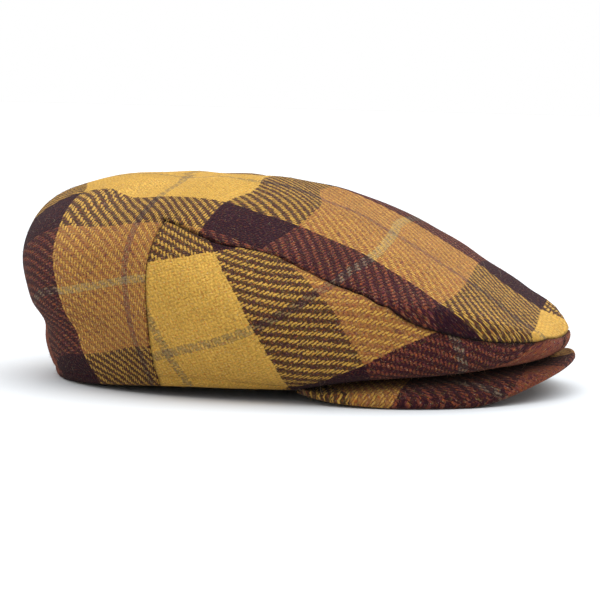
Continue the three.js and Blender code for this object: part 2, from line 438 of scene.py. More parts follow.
@dataclass(frozen=True)
class Sett:
    """The plaid's stripes, counted in yarns, and the pitch of its yarns.

    The same order of stripes runs in both families of yarn: yellow, aubergine, rust, aubergine.
    """

    yellow: int = 60
    aubergine: int = 20
    rust: int = 50
    overcheck: int = 3
    cross_pitch: float = 1.53
    long_pitch: float = 1.26

    @property
    def repeat(self) -> int:
        """Returns the yarns in one repeat."""
        return self.yellow + self.rust + 2 * self.aubergine


SETT = Sett()


@dataclass(frozen=True)
class TopCloth:
    """How the cloth of the top panel lies over the crown."""

    first_cross: float = -74.0
    first_long: float = -61.0
    fall_along: float = -0.2
    fall_across: float = 1.0
    left_ahead: float = 17.0
    left_ahead_rises: tuple[float, float] = (-16.0, 36.0)
    left_ahead_falls: tuple[float, float] = (50.0, 110.0)
    nose_aside: float = 14.0
    nose_at: tuple[float, float] = (15.0, 10.0)
    nose_share: tuple[float, float] = (0.82, 1.0)
    back_sag: float = 5.5
    sag_at: tuple[float, float] = (-150.0, 16.0)
    sag_share: tuple[float, float] = (0.86, 0.13)
    ease_along: float = 1.2
    ease_across: float = 1.1
    ease_share: tuple[float, float] = (0.08, 0.42)
    far_from: float = 75.0
    far_to: float = 200.0
    far_turn_from: float = 70.0
    far_turn_to: float = 216.0
    far_ease: float = 1.03
    far_begins: tuple[float, float] = (48.0, 90.0)
    far_ends: tuple[float, float] = (186.0, 204.0)

    def yarns(self, angle: np.ndarray, above: np.ndarray, reach: np.ndarray) -> np.ndarray:
        """Counts the yarns from a corner of the plaid.

        Args:
            angle: Angles in degrees.
            above: Arc lengths above the widest line.
            reach: Arc lengths from the widest line to the top.

        Returns:
            Yarn numbers across and along, on the last axis.
        """
        away = from_front(angle)
        signed = signed_angle(angle)
        side = np.where(signed < 0, -1.0, 1.0)
        share = np.clip(1 - above / reach, 0, 1)

        def spread(half: np.ndarray, edge: np.ndarray) -> np.ndarray:
            """Returns a quadratic from the top through half way to the edge."""
            return share * ((4 * half - edge) + (2 * edge - 4 * half) * share)

        along = spread(even_series("along_half", away), even_series("along_edge", away))
        across = spread(odd_series("across_half", away), odd_series("across_edge", away))
        below = np.maximum(-above, 0)
        along = along + self.fall_along * below
        across = side * (across + self.fall_across * below)
        rises = smooth_step(*self.left_ahead_rises, signed)
        ahead = rises * (1 - smooth_step(*self.left_ahead_falls, signed))
        along = along + self.left_ahead * ahead * share
        across = across - self.nose_aside * bell(signed, *self.nose_at) * smooth_step(*self.nose_share, share)
        across = across + self.back_sag * bell(signed, *self.sag_at) * bell(share, *self.sag_share)
        round_left = np.asarray(angle, float) % 360
        middle = 1 - smooth_step(*self.ease_share, share)
        facing = np.radians(angle)
        along = along + (self.ease_along * (reach - above) * np.cos(facing) - along) * middle
        across = across + (self.ease_across * (reach - above) * np.sin(facing) - across) * middle
        is_far = smooth_step(*self.far_begins, round_left) * (1 - smooth_step(*self.far_ends, round_left))
        rate = (self.far_turn_to - self.far_turn_from) / (self.far_to - self.far_from)
        turned = np.radians(self.far_turn_from + rate * (round_left - self.far_from))
        out = self.far_ease * (reach - above)
        along = along + (out * np.cos(turned) - along) * is_far
        across = across + (out * np.sin(turned) - across) * is_far
        cross_yarn = (along - self.first_cross) / SETT.cross_pitch
        long_yarn = (across - self.first_long) / SETT.long_pitch
        return np.stack([cross_yarn, long_yarn], axis=-1)


@dataclass(frozen=True)
class SideCloth:
    """How the cloth of a side panel lies, turned against the rim."""

    cross_turn: float = 30.6
    cross_scale: float = 0.907
    cross_start: float = -29.0
    long_turn: float = 27.6
    long_scale: float = 0.929
    long_start: float = -14.1
    front_from: float = 155.0
    front_to: float = 205.0
    front_cross: float = 18.0
    front_long: float = 8.0

    def yarns(self, side: Side, forward: np.ndarray, above: np.ndarray) -> np.ndarray:
        """Counts the yarns from a corner of the plaid.

        Args:
            side: Which panel.
            forward: Arc lengths along the widest line, from the side of the crown forwards.
            above: Arc lengths above the widest line.

        Returns:
            Yarn numbers across and along, on the last axis.
        """
        cross = math.radians(self.cross_turn)
        lengthwise = math.radians(self.long_turn)
        onward = math.cos(cross) * forward + math.sin(cross) * above
        onward = self.cross_start + self.cross_scale * onward
        upward = math.cos(lengthwise) * above - math.sin(lengthwise) * forward
        upward = self.long_start + self.long_scale * upward
        cross_yarn = onward / SETT.cross_pitch + SETT.yellow
        long_yarn = upward / SETT.long_pitch + SETT.yellow
        eased = smooth_step(self.front_from, self.front_to, forward)
        cross_yarn = cross_yarn - self.front_cross * eased
        long_yarn = long_yarn - self.front_long * eased
        if side is Side.LEFT:
            long_yarn = SETT.yellow - long_yarn
        return np.stack([cross_yarn, long_yarn], axis=-1)


def grid_quads(rows: int, columns: int, start: int = 0, closed: bool = False) -> np.ndarray:
    """Faces of a grid whose vertices run along each row in turn.

    Args:
        rows: Rows of vertices.
        columns: Vertices in a row.
        start: Index of the first vertex.
        closed: Whether the last column joins the first.

    Returns:
        Quads as (count, 4) vertex indices.
    """
    across = columns if closed else columns - 1
    row, col = np.meshgrid(np.arange(rows - 1), np.arange(across), indexing="ij")
    a = start + row * columns + col
    b = start + row * columns + (col + 1) % columns
    return np.stack([a, b, b + columns, a + columns], axis=-1).reshape(-1, 4)


def rim_of(faces: list[np.ndarray]) -> np.ndarray:
    """Finds the free edges of a sheet.

    Args:
        faces: Faces, as arrays of vertex indices.

    Returns:
        Directed edges that belong to one face only, as (count, 2).
    """
    pairs = [np.stack([block, np.roll(block, -1, axis=1)], axis=-1).reshape(-1, 2) for block in faces]
    edges = np.concatenate(pairs)
    size = int(edges.max()) + 1
    forward = edges[:, 0] * size + edges[:, 1]
    backward = edges[:, 1] * size + edges[:, 0]
    return edges[~np.isin(forward, backward)]


def closed_shell(
    outer: np.ndarray, inner: np.ndarray, faces: list[np.ndarray]
) -> tuple[np.ndarray, list[np.ndarray]]:
    """Joins an outer and an inner sheet with the same faces along their free edges.

    Args:
        outer: Points of the outer sheet.
        inner: Points of the inner sheet.
        faces: The outer sheet's faces.

    Returns:
        All points, and all faces.
    """
    count = len(outer)
    free = rim_of(faces)
    walls = np.stack([free[:, 1], free[:, 0], free[:, 0] + count, free[:, 1] + count], axis=-1)
    flipped = [block[:, ::-1] + count for block in faces]
    return np.concatenate([outer, inner]), [*faces, *flipped, walls]


def make_piece(
    name: str, points: np.ndarray, faces: list[np.ndarray], yarns: np.ndarray, painted_shade: np.ndarray
) -> bpy.types.Object:
    """Makes a mesh object from points in millimetres.

    Args:
        name: The piece's name.
        points: Points in millimetres, round the crown's axis.
        faces: Faces, as arrays of vertex indices.
        yarns: Yarn numbers of each point.
        painted_shade: Painted shade of each point, from 0 to 1, deepest where the cloth tucks into a seam or
            fold.

    Returns:
        The new object, in the scene.
    """
    mesh = bpy.data.meshes.new(name)
    placed = (points + np.array([AXIS_X, 0, 0])) * MM
    mesh.from_pydata(placed.tolist(), [], [face for block in faces for face in block.tolist()])
    mesh.polygons.foreach_set("use_smooth", np.ones(len(mesh.polygons), bool))
    attribute = mesh.attributes.new(CLOTH, "FLOAT_VECTOR", "POINT")
    # The third number of the cloth attribute is the painted shade.
    stored = np.concatenate([yarns, painted_shade[:, None]], axis=1)
    attribute.data.foreach_set("vector", stored.astype(np.float32).ravel())
    mesh.update()
    piece = bpy.data.objects.new(name, mesh)
    bpy.context.scene.collection.objects.link(piece)
    return piece


def make_shell(
    name: str,
    outer: np.ndarray,
    inner: np.ndarray,
    faces: list[np.ndarray],
    yarns: np.ndarray,
    painted_shade: np.ndarray,
) -> bpy.types.Object:
    """Makes a closed piece of cloth whose inner side has the same plaid and no painted shade.

    Args:
        name: The piece's name.
        outer: Points of the outer side.
        inner: Points of the inner side.
        faces: The outer side's faces.
        yarns: Yarn numbers of each outer point.
        painted_shade: Painted shade of each outer point, deepest where the cloth tucks in.

    Returns:
        The new object, in the scene.
    """
    points, whole = closed_shell(outer, inner, faces)
    return make_piece(name, points, whole, np.concatenate([yarns, yarns]), np.concatenate([painted_shade, 0 * painted_shade]))


def by_rows(values: np.ndarray) -> np.ndarray:
    """Lays pairs or triples given as (columns, rows, ...) out row by row."""
    return values.transpose(1, 0, 2).reshape(-1, values.shape[-1])


def spaced(length: np.ndarray, near: tuple[float, ...], far: tuple[float, ...], middle: int) -> np.ndarray:
    """Distances along a line, close together near its two ends.

    Args:
        length: Lengths of the lines, one for each column.
        near: Distances of the first points from the start.
        far: Distances of the last points from the end, smallest last.
        middle: Count of evenly spaced points between.

    Returns:
        Distances from the start, as (columns, rows).
    """
    length = np.atleast_1d(np.asarray(length, float))
    first = np.array(near)[None, :] * np.ones((len(length), 1))
    last = length[:, None] - np.array(far)[None, :]
    share = np.arange(1, middle + 1)[None, :] / (middle + 1)
    between = first[:, -1:] + (last[:, :1] - first[:, -1:]) * share
    return np.concatenate([first, between, last], axis=1)


@dataclass(frozen=True)
class SewnEdge:
    """How cloth turns in at a seam, swells beside it, and takes painted shade in the seam."""

    roll: float = 1.3
    swell: float = 0.35
    swell_at: float = 5.0
    swell_width: float = 3.0
    pucker: float = 0.16
    pucker_length: float = 9.0
    pucker_reach: float = 6.0
    ridge: float = 0.16
    ridge_at: float = 8.2
    ridge_width: float = 1.1
    painted_shade_width: float = 1.6
    short_gathers: float = 0.62
    short_strength: float = 0.6
    short_phase: float = 2.3

    def inward(self, distance: np.ndarray) -> np.ndarray:
        """Outer side of the cloth beside a seam.

        Args:
            distance: Distances from the seam.

        Returns:
            How far the cloth lies inside its surface.
        """
        left = np.clip(self.roll - distance, 0, self.roll)
        turned = self.roll - np.sqrt(np.maximum(self.roll**2 - left**2, 0))
        ridge = self.ridge * bell(distance, self.ridge_at, self.ridge_width)
        return turned - self.swell * bell(distance, self.swell_at, self.swell_width) - ridge

    def painted_shade(self, distance: np.ndarray) -> np.ndarray:
        """Returns the painted shade of cloth where it turns into the seam, from 0 to 1."""
        return 1 - smooth_step(0.0, self.roll * self.painted_shade_width, distance)

    def pulled_in(self, distance: np.ndarray) -> np.ndarray:
        """Returns how far cloth that runs on under its neighbour lies inside its surface."""
        swell = self.swell * bell(distance, self.swell_at, self.swell_width)
        return np.maximum(self.inward(distance), 0) - swell

    def puckers(self, distance: np.ndarray, along: np.ndarray, phase: float) -> np.ndarray:
        """Small gathers beside the stitches.

        Args:
            distance: Distances from the seam.
            along: Distances along the seam.
            phase: Where the gathers start.

        Returns:
            How far the cloth lies outside its surface.
        """
        first = np.sin(2 * np.pi * along / self.pucker_length + phase)
        short = self.pucker_length * self.short_gathers
        second = np.sin(2 * np.pi * along / short + self.short_phase * phase)
        gathers = self.pucker * (first + self.short_strength * second)
        return gathers * np.exp(-((distance / self.pucker_reach) ** 2))


@dataclass(frozen=True)
class Hem:
    """The rim's turned-up hem and the stitched line above it."""

    half_thickness: float = 1.25
    groove_height: float = 4.8
    groove_depth: float = 0.55
    groove_width: float = 1.1
    inside_height: float = 16.0
    inside_step: float = 0.9
    inside_slope: float = 0.8
    steepest: float = 0.98
    inner_spare: float = 0.1

    def inward(self, height: np.ndarray, free: np.ndarray) -> np.ndarray:
        """Outer side of the hem.

        Args:
            height: Arc lengths above the rim.
            free: 1 where the rim is free and 0 where the peak is sewn on.

        Returns:
            How far the cloth lies inside its surface.
        """
        left = np.clip(self.half_thickness - height, 0, self.half_thickness * self.steepest)
        turned = self.half_thickness - np.sqrt(self.half_thickness**2 - left**2)
        return turned + free * self.groove_depth * bell(height, self.groove_height, self.groove_width)

    def thickened(self, thick: np.ndarray, height: np.ndarray, free: np.ndarray) -> np.ndarray:
        """Inner side of the hem.

        Args:
            thick: How far the inner side lies in without the hem.
            height: Arc lengths above the rim.
            free: 1 where the rim is free and 0 where the peak is sewn on.

        Returns:
            How far the inner side lies inside the surface.
        """
        inside = 1 - smooth_step(self.inside_height - self.inside_slope, self.inside_height, height)
        thick = thick + self.inside_step * inside * free
        rounded = np.clip(1 - height / self.half_thickness, 0, 1)
        return thick * (1 - rounded) + (self.half_thickness + self.inner_spare) * rounded


@dataclass(frozen=True)
class SwellRow:
    """A wave of the cloth's unevenness, with its length along, aside and up."""

    along: float
    aside: float
    up: float
    phase: float
    strength: float


SWELLS = (
    SwellRow(71.0, -113.0, 58.0, 0.13, 0.30),
    SwellRow(-94.0, 57.0, 83.0, 0.41, 0.26),
    SwellRow(43.0, 68.0, -47.0, 0.77, 0.17),
    SwellRow(-37.0, -52.0, 39.0, 0.29, 0.12),
    SwellRow(29.0, -41.0, 33.0, 0.58, 0.08),
)
SWELLS_START = 2.0
SWELLS_FULL = 22.0
EDGE = SewnEdge()
HEM = Hem()
SEAM_STEPS = (0.03, 0.35, 0.6, 0.95, 1.4, 2.0, 2.9, 4.0, 5.2)
RIM_STEPS = (0.0, 0.2, 0.5, 0.9, 1.4, 2.2, 3.1, 3.8, 4.3, 4.8, 5.3, 5.8, 6.6, 7.6)
CLOTH_THICKNESS = 2.1
ALLOWANCE_WIDTH = 8.0
ALLOWANCE_SLOPE = 1
ALLOWANCE_STEP = 0.6


def seam_slant(meridians: Meridians) -> np.ndarray:
    """Sine of the angle between the top seam and each meridian.

    Args:
        meridians: Meridians of the columns.

    Returns:
        One sine for each column.
    """
    angle = meridians.angles
    level = CROWN.seam_level(angle)
    ahead = CROWN.point(angle + ANGLE_STEP, CROWN.seam_level(angle + ANGLE_STEP))
    along = ahead - CROWN.point(angle - ANGLE_STEP, CROWN.seam_level(angle - ANGLE_STEP))
    up = CROWN.point(angle, np.minimum(level + LEVEL_STEP, 2)) - CROWN.point(angle, level - LEVEL_STEP)
    cross = np.linalg.norm(np.cross(along, up), axis=-1)
    return cross / (np.linalg.norm(along, axis=-1) * np.linalg.norm(up, axis=-1))


def seam_run(meridians: Meridians) -> np.ndarray:
    """Distances along the top seam.

    Args:
        meridians: Meridians of the columns.

    Returns:
        The distance of each column from the first.
    """
    points = CROWN.point(meridians.angles, CROWN.seam_level(meridians.angles))
    steps = np.linalg.norm(np.diff(points, axis=0), axis=-1)
    return np.concatenate([[0.0], np.cumsum(steps)])


def forward_arc(angle: np.ndarray) -> np.ndarray:
    """Arc lengths along the widest line, from the side of the crown forwards.

    Args:
        angle: Angles in degrees.

    Returns:
        Arc lengths in millimetres, negative behind the side.
    """
    grid = np.linspace(0, 180, WIDEST_LINE_POINTS)
    points = CROWN.point(grid, np.ones_like(grid))
    arcs = np.concatenate([[0.0], np.cumsum(np.linalg.norm(np.diff(points, axis=0), axis=-1))])
    return np.interp(90.0, grid, arcs) - np.interp(from_front(angle), grid, arcs)


def undulation(points: np.ndarray) -> np.ndarray:
    """Soft unevenness of worn cloth.

    Args:
        points: Points in millimetres.

    Returns:
        How far the cloth lies outside its surface.
    """
    total = np.zeros(points.shape[:-1])
    for row in SWELLS:
        wave = points[..., 0] / row.along + points[..., 1] / row.aside + points[..., 2] / row.up + row.phase
        total += row.strength * np.sin(2 * np.pi * wave)
    return total * smooth_step(SWELLS_START, SWELLS_FULL, points[..., 2])


def lay_cloth(
    lines: Meridians, levels: np.ndarray, sunk: np.ndarray, thickness: np.ndarray
) -> tuple[np.ndarray, np.ndarray]:
    """Outer and inner points of a stretch of crown cloth.

    Args:
        lines: Meridians of its columns.
        levels: Levels as (columns, rows).
        sunk: How far the outer side lies inside the crown's surface.
        thickness: How far the inner side lies inside the crown's surface.

    Returns:
        The outer points and the inner points, row by row, as (count, 3).
    """
    base, outward = lines.surface(levels)
    base = base + outward * undulation(base)[..., None]
    return by_rows(base - outward * sunk[..., None]), by_rows(base - outward * thickness[..., None])


def allowance(distance: np.ndarray) -> np.ndarray:
    """Returns how far pressed-back seam allowances thicken the inside."""
    return ALLOWANCE_STEP * (1 - smooth_step(ALLOWANCE_WIDTH - ALLOWANCE_SLOPE, ALLOWANCE_WIDTH, distance))


def seam_columns(width: float, middle: int) -> np.ndarray:
    """Returns angles across a width in degrees, close together beside the seams at both ends."""
    steps = tuple(step / MM_PER_DEGREE for step in SEAM_STEPS)
    return spaced(np.array([width]), steps, tuple(reversed(steps)), middle)[0]


@dataclass
class SidePanel:
    """One side of the crown, from the front to the back seam, under the top seam."""

    side: Side
    columns: int = 190
    rows: int = 44
    free_from: float = -4
    free_to: float = 6
    pucker_phase: float = 0.7
    # painted shade low on the crown where the peak is sewn on, up to fold_height above the rim
    fold_painted_shade: float = 0.8
    fold_height: float = 9.0

    def build(self) -> bpy.types.Object:
        """Builds the panel.

        Returns:
            The panel's object.
        """
        angles = seam_columns(CROWN.back_seam_angle, self.columns)
        lines = Meridians(angles)
        slant = seam_slant(lines)
        seam_arc = lines.arc_at(CROWN.seam_level(angles))
        far = np.array(tuple(reversed(SEAM_STEPS)))[None, :] / slant[:, None]
        heights = spaced(seam_arc - far[:, 0], RIM_STEPS, (0.0,), self.rows)[:, :-1]
        heights = np.concatenate([heights, seam_arc[:, None] - far], axis=1)
        levels = lines.level_at(heights)
        angle = angles[:, None] * np.ones_like(levels)
        radius = np.linalg.norm(CROWN.point(angle, levels)[..., :2], axis=-1)
        to_top = (seam_arc[:, None] - heights) * slant[:, None]
        to_back = np.radians(CROWN.back_seam_angle - angle) * radius
        to_front = np.radians(angle) * radius
        nearest = np.minimum(np.minimum(to_top, to_back), to_front)
        run = seam_run(lines)[:, None] * np.ones_like(levels)
        free = smooth_step(CROWN.peak_end_angle + self.free_from, CROWN.peak_end_angle + self.free_to, angle)
        sunk = np.maximum(EDGE.pulled_in(nearest), HEM.inward(heights, free))
        sunk = sunk - EDGE.puckers(to_top, run, self.pucker_phase)
        thick = HEM.thickened(CLOTH_THICKNESS + allowance(nearest), heights, free)
        outer, inner = lay_cloth(lines, levels, sunk, thick)
        outer[:, 1] *= self.side.value
        inner[:, 1] *= self.side.value
        quads = grid_quads(levels.shape[1], len(angles))
        if self.side is Side.RIGHT:
            quads = quads[:, ::-1]
        forward = forward_arc(angles)[:, None] * np.ones_like(levels)
        yarns = SideCloth().yarns(self.side, forward, lines.above_widest(levels))
        # Painted shade: darker near the rim where the crown overhangs the peak, and in the seams.
        folded = self.fold_painted_shade * (1 - free) * (1 - smooth_step(0.0, self.fold_height, heights))
        painted_shade = np.maximum(EDGE.painted_shade(nearest), folded).T.ravel()
        name = f"side_cloth_{self.side.name.lower()}"
        return make_shell(name, outer, inner, [quads], by_rows(yarns), painted_shade)


@dataclass
class TopPanel:
    """The round of cloth over the crown, and the skirt that runs from it down the back."""

    front_columns: int = 210
    back_columns: int = 120
    rows: int = 62
    skirt_rows: int = 44
    top_phase: float = 2.1
    skirt_phase: float = 1.4
    skirt_top: float = 1.3

    def column_angles(self) -> tuple[np.ndarray, int]:
        """Angles of the columns round the crown.

        Returns:
            The angles from one back seam round the front and the back, and the count before the back.
        """
        limit = CROWN.back_seam_angle
        front = seam_columns(2 * limit, self.front_columns) - limit
        back = seam_columns(360 - 2 * limit, self.back_columns) + limit
        return np.concatenate([front, back]), len(front)

    def build(self) -> bpy.types.Object:
        """Builds the panel.

        Returns:
            The panel's object.
        """
        angles, front_count = self.column_angles()
        lines = Meridians(angles)
        slant = seam_slant(lines)
        seam_arc = lines.arc_at(CROWN.seam_level(angles))
        whole = lines.arcs[:, -1]
        on_seam = from_front(angles) < CROWN.back_seam_angle
        near = np.array(SEAM_STEPS)[None, :] / slant[:, None]
        share = np.arange(1, self.rows + 1)[None, :] / (self.rows + 1)
        between = near[:, -1:] + (whole - seam_arc)[:, None] * share - near[:, -1:] * share
        from_seam = np.concatenate([near, between], axis=1)
        levels = lines.level_at(seam_arc[:, None] + from_seam)
        angle = angles[:, None] * np.ones_like(levels)
        base = CROWN.point(angle, levels)
        away = self.edge_distance(base, from_seam * slant[:, None], on_seam)
        run = seam_run(lines)[:, None] * np.ones_like(levels)
        sunk = EDGE.inward(away) - EDGE.puckers(away, run, self.top_phase)
        outer, inner = lay_cloth(lines, levels, sunk, CLOTH_THICKNESS + allowance(away))
        yarns = TopCloth().yarns(angle, lines.above_widest(levels), lines.reach()[:, None])
        columns = len(angles)
        rows = levels.shape[1]
        faces = [grid_quads(rows, columns, closed=True)]
        apex = rows * columns
        ring = (rows - 1) * columns + np.arange(columns)
        faces.append(np.stack([ring, np.roll(ring, -1), np.full(columns, apex)], axis=-1))
        top = CROWN.point(np.zeros(1), np.full(1, 2.0))
        outer = np.concatenate([outer, top])
        inner = np.concatenate([inner, top - [0, 0, CLOTH_THICKNESS]])
        apex_yarns = TopCloth().yarns(np.zeros(1), lines.reach()[:1], lines.reach()[:1])
        # Painted shade in the seams round the top panel; the apex and the skirt get none.
        painted_shade = EDGE.painted_shade(away).T.ravel()
        skirt_outer, skirt_inner, skirt_yarns, skirt_faces = self.skirt(lines, front_count, len(outer))
        outer = np.concatenate([outer, skirt_outer])
        inner = np.concatenate([inner, skirt_inner])
        faces.append(skirt_faces)
        flat = np.concatenate([by_rows(yarns), apex_yarns, skirt_yarns])
        painted_shade = np.concatenate([painted_shade, np.zeros(len(flat) - len(painted_shade))])
        return make_shell("top_cloth", outer, inner, faces, flat, painted_shade)

    def edge_distance(self, base: np.ndarray, from_seam: np.ndarray, on_seam: np.ndarray) -> np.ndarray:
        """Distances from the sewn edges of the round part.

        Args:
            base: The points.
            from_seam: Distances from the seam line along each meridian.
            on_seam: Which columns start at the top seam.

        Returns:
            The distance of each point from the nearest sewn edge.
        """
        limit = CROWN.back_seam_angle
        corner_level = CROWN.seam_level(np.array([limit]))
        corners = [CROWN.point(np.array([side.value * limit]), corner_level)[0] for side in Side]
        to_corner = np.min([np.linalg.norm(base - corner, axis=-1) for corner in corners], axis=0)
        return np.where(on_seam[:, None], np.minimum(from_seam, to_corner), to_corner)

    def skirt(
        self, lines: Meridians, front_count: int, start: int
    ) -> tuple[np.ndarray, np.ndarray, np.ndarray, np.ndarray]:
        """The stretch down the back, between the back seams.

        Args:
            lines: Meridians of all columns.
            front_count: Count of columns before the back.
            start: Index of the first new vertex.

        Returns:
            Outer points, inner points, yarn numbers and faces.
        """
        angles = lines.angles[front_count:]
        back = Meridians(angles)
        seam_arc = back.arc_at(CROWN.seam_level(angles)) + SEAM_STEPS[0] / seam_slant(lines)[front_count:]
        heights = spaced(seam_arc, RIM_STEPS, (self.skirt_top,), self.skirt_rows)
        levels = back.level_at(heights)
        angle = angles[:, None] * np.ones_like(levels)
        radius = np.linalg.norm(CROWN.point(angle, levels)[..., :2], axis=-1)
        to_seam = np.radians(from_front(angle) - CROWN.back_seam_angle) * radius
        free = np.ones_like(heights)
        sunk = np.maximum(EDGE.pulled_in(to_seam), HEM.inward(heights, free))
        sunk = sunk - EDGE.puckers(to_seam, heights, self.skirt_phase)
        thick = HEM.thickened(CLOTH_THICKNESS + allowance(to_seam), heights, free)
        outer, inner = lay_cloth(back, levels, sunk, thick)
        yarns = TopCloth().yarns(angle, back.above_widest(levels), back.reach()[:, None])
        rows, columns = levels.shape[1], len(angles)
        quads = grid_quads(rows, columns, start)
        last = start + (rows - 1) * columns + np.arange(columns)
        first_ring = front_count + np.arange(columns)
        join = np.stack([last[:-1], last[1:], first_ring[1:], first_ring[:-1]], axis=-1)
        return outer, inner, by_rows(yarns), np.concatenate([quads, join])


@dataclass(frozen=True)
class PeakForm:
    """The stiff peak, with the solids' own sizes."""

    reach: float = 161.4
    thickness: float = 4.6
    edge_thickness: float = 3.2
    end_width: float = 2.5
    outline_power: float = 0.68
    arch: float = 12.2
    arch_angle: float = 25.5
    end_rise: float = 4.0
    end_rise_power: float = 8.0
    shoulder: float = 5.0
    bend_weight: float = 2.1
    wall: float = 2.6
    gap: float = 0.3
    left_lift: float = 10.5
    left_lift_angle: float = 19.0
    left_lift_width: float = 14.5
    arch_power: float = 1.5
    shoulder_most: float = 0.5
    edge_rounds: int = 12
    section_step: float = 0.01
    thins_from: float = 0.8

    def outer_radius(self, angle: np.ndarray) -> np.ndarray:
        """Radius of the peak's edge, seen from the crown's axis.

        Args:
            angle: Angles in degrees.

        Returns:
            The radius at each angle.
        """
        reach = self.reach - CROWN.rim_radius(np.zeros(1))[0] - self.end_width
        width = reach * (1 - CROWN.peak_share(angle) ** 2) ** self.outline_power
        return CROWN.rim_radius(angle) + self.end_width + width

    def edge_height(self, angle: np.ndarray) -> np.ndarray:
        """Height of the lowest line of the edge.

        Args:
            angle: Angles in degrees.

        Returns:
            The height at each angle.
        """
        swing = np.minimum(from_front(angle) / self.arch_angle, 1) * np.pi / 2
        arch = self.arch * np.maximum(np.cos(swing), 0) ** self.arch_power
        lift = self.left_lift * bell(angle, self.left_lift_angle, self.left_lift_width)
        return arch + lift + self.end_rise * CROWN.peak_share(angle) ** self.end_rise_power

    def section(self, angle: np.ndarray, share: np.ndarray) -> tuple[np.ndarray, np.ndarray]:
        """Top and underside of the peak.

        Args:
            angle: Angles in degrees.
            share: Shares of the way from the head to the edge.

        Returns:
            The points of the top and of the underside, with the coordinates on the last axis.
        """
        angle, share = np.broadcast_arrays(np.asarray(angle, float), np.asarray(share, float))
        inside = CROWN.rim_radius(angle) - self.wall
        outside = self.outer_radius(angle)
        width = outside - inside
        bend = inside + width * (1 - np.minimum(self.shoulder / width, self.shoulder_most))
        top = CROWN.rim_height(angle) - self.gap
        bend_height = top - CROWN.front_fold_drop * (1 - CROWN.peak_share(angle) ** 2) - self.gap
        low = self.edge_height(angle)
        depth = (self.thickness + self.edge_thickness) / 2
        edge = low
        for _ in range(self.edge_rounds):
            edge = low + depth * np.cos(np.arctan2(bend_height - edge, outside - bend))

        def at(t: np.ndarray) -> np.ndarray:
            """Section of the peak's top.

            Args:
                t: Shares of the way from the head to the edge.

            Returns:
                Radius and height, on the last axis.
            """
            radius = conic(inside, bend, outside, self.bend_weight, t)
            height = conic(top, bend_height, edge, self.bend_weight, t)
            return np.stack([radius, height], axis=-1)

        along = at(np.minimum(share + self.section_step, 1)) - at(np.maximum(share - self.section_step, 0))
        along /= np.linalg.norm(along, axis=-1, keepdims=True)
        down = np.stack([along[..., 1], -along[..., 0]], axis=-1)
        thin = smooth_step(self.thins_from, 1.0, share)
        thickness = self.thickness + (self.edge_thickness - self.thickness) * thin
        rounding = (self.thickness - thickness) / 2
        middle = at(share)
        upper = middle + down * rounding[..., None]
        under = middle + down * (rounding + thickness)[..., None]
        under[..., 1] = np.maximum(under[..., 1], low)
        return self.placed(angle, upper), self.placed(angle, under)

    def placed(self, angle: np.ndarray, flat: np.ndarray) -> np.ndarray:
        """Returns points round the crown's axis from radius and height."""
        turned = np.radians(angle)
        return np.stack([flat[..., 0] * np.cos(turned), flat[..., 0] * np.sin(turned), flat[..., 1]], axis=-1)


@dataclass(frozen=True)
class PeakCloth:
    """How the peak's cover lies, from what it is unrolled to round the head."""

    yellow_ends: float = 102.8
    rust_starts: float = 148.0
    overcheck_turn: float = 12.3
    overcheck_at: float = -83.0
    far_pitch: float = 1.5
    fan_from: float = -25.7
    fan_to: float = -46.0
    fan_share: float = 0.44
    fan_slant: float = 10.2
    fan_fades_from: float = -4
    fan_fades_to: float = 6

    def yarns(self, angle: np.ndarray, share: np.ndarray, reach: np.ndarray) -> np.ndarray:
        """Counts the yarns from a corner of the plaid.

        Args:
            angle: Angles in degrees.
            share: Shares of the way from the head to the edge.
            reach: Radius that each point has when the section is unrolled flat.

        Returns:
            Yarn numbers across and along, on the last axis.
        """
        turned = np.radians(angle)
        forward = reach * np.cos(turned)
        aside = reach * np.sin(turned)
        past = forward - self.yellow_ends
        stretch = (self.rust_starts - self.yellow_ends) / SETT.aubergine
        cross_yarn = SETT.yellow + np.where(past < 0, past / SETT.cross_pitch, past / stretch)
        slant = math.radians(self.overcheck_turn)
        level = aside * math.cos(slant) - forward * math.sin(slant) - self.overcheck_at
        plain = np.where(level < 0, level / SETT.long_pitch, level / self.far_pitch)
        steadied = self.fan_slant * np.clip((angle - self.fan_to) / (self.fan_from - self.fan_to), 0, 1)
        leaning = angle - steadied * (share - self.fan_share)
        fan = SETT.rust / 2 * (leaning - self.fan_from) / (self.fan_from - self.fan_to)
        mixed = smooth_step(self.fan_from + self.fan_fades_from, self.fan_from + self.fan_fades_to, leaning)
        middle = SETT.yellow + SETT.aubergine + SETT.rust / 2
        long_yarn = middle + fan * (1 - mixed) + plain * mixed
        return np.stack([cross_yarn, long_yarn], axis=-1)


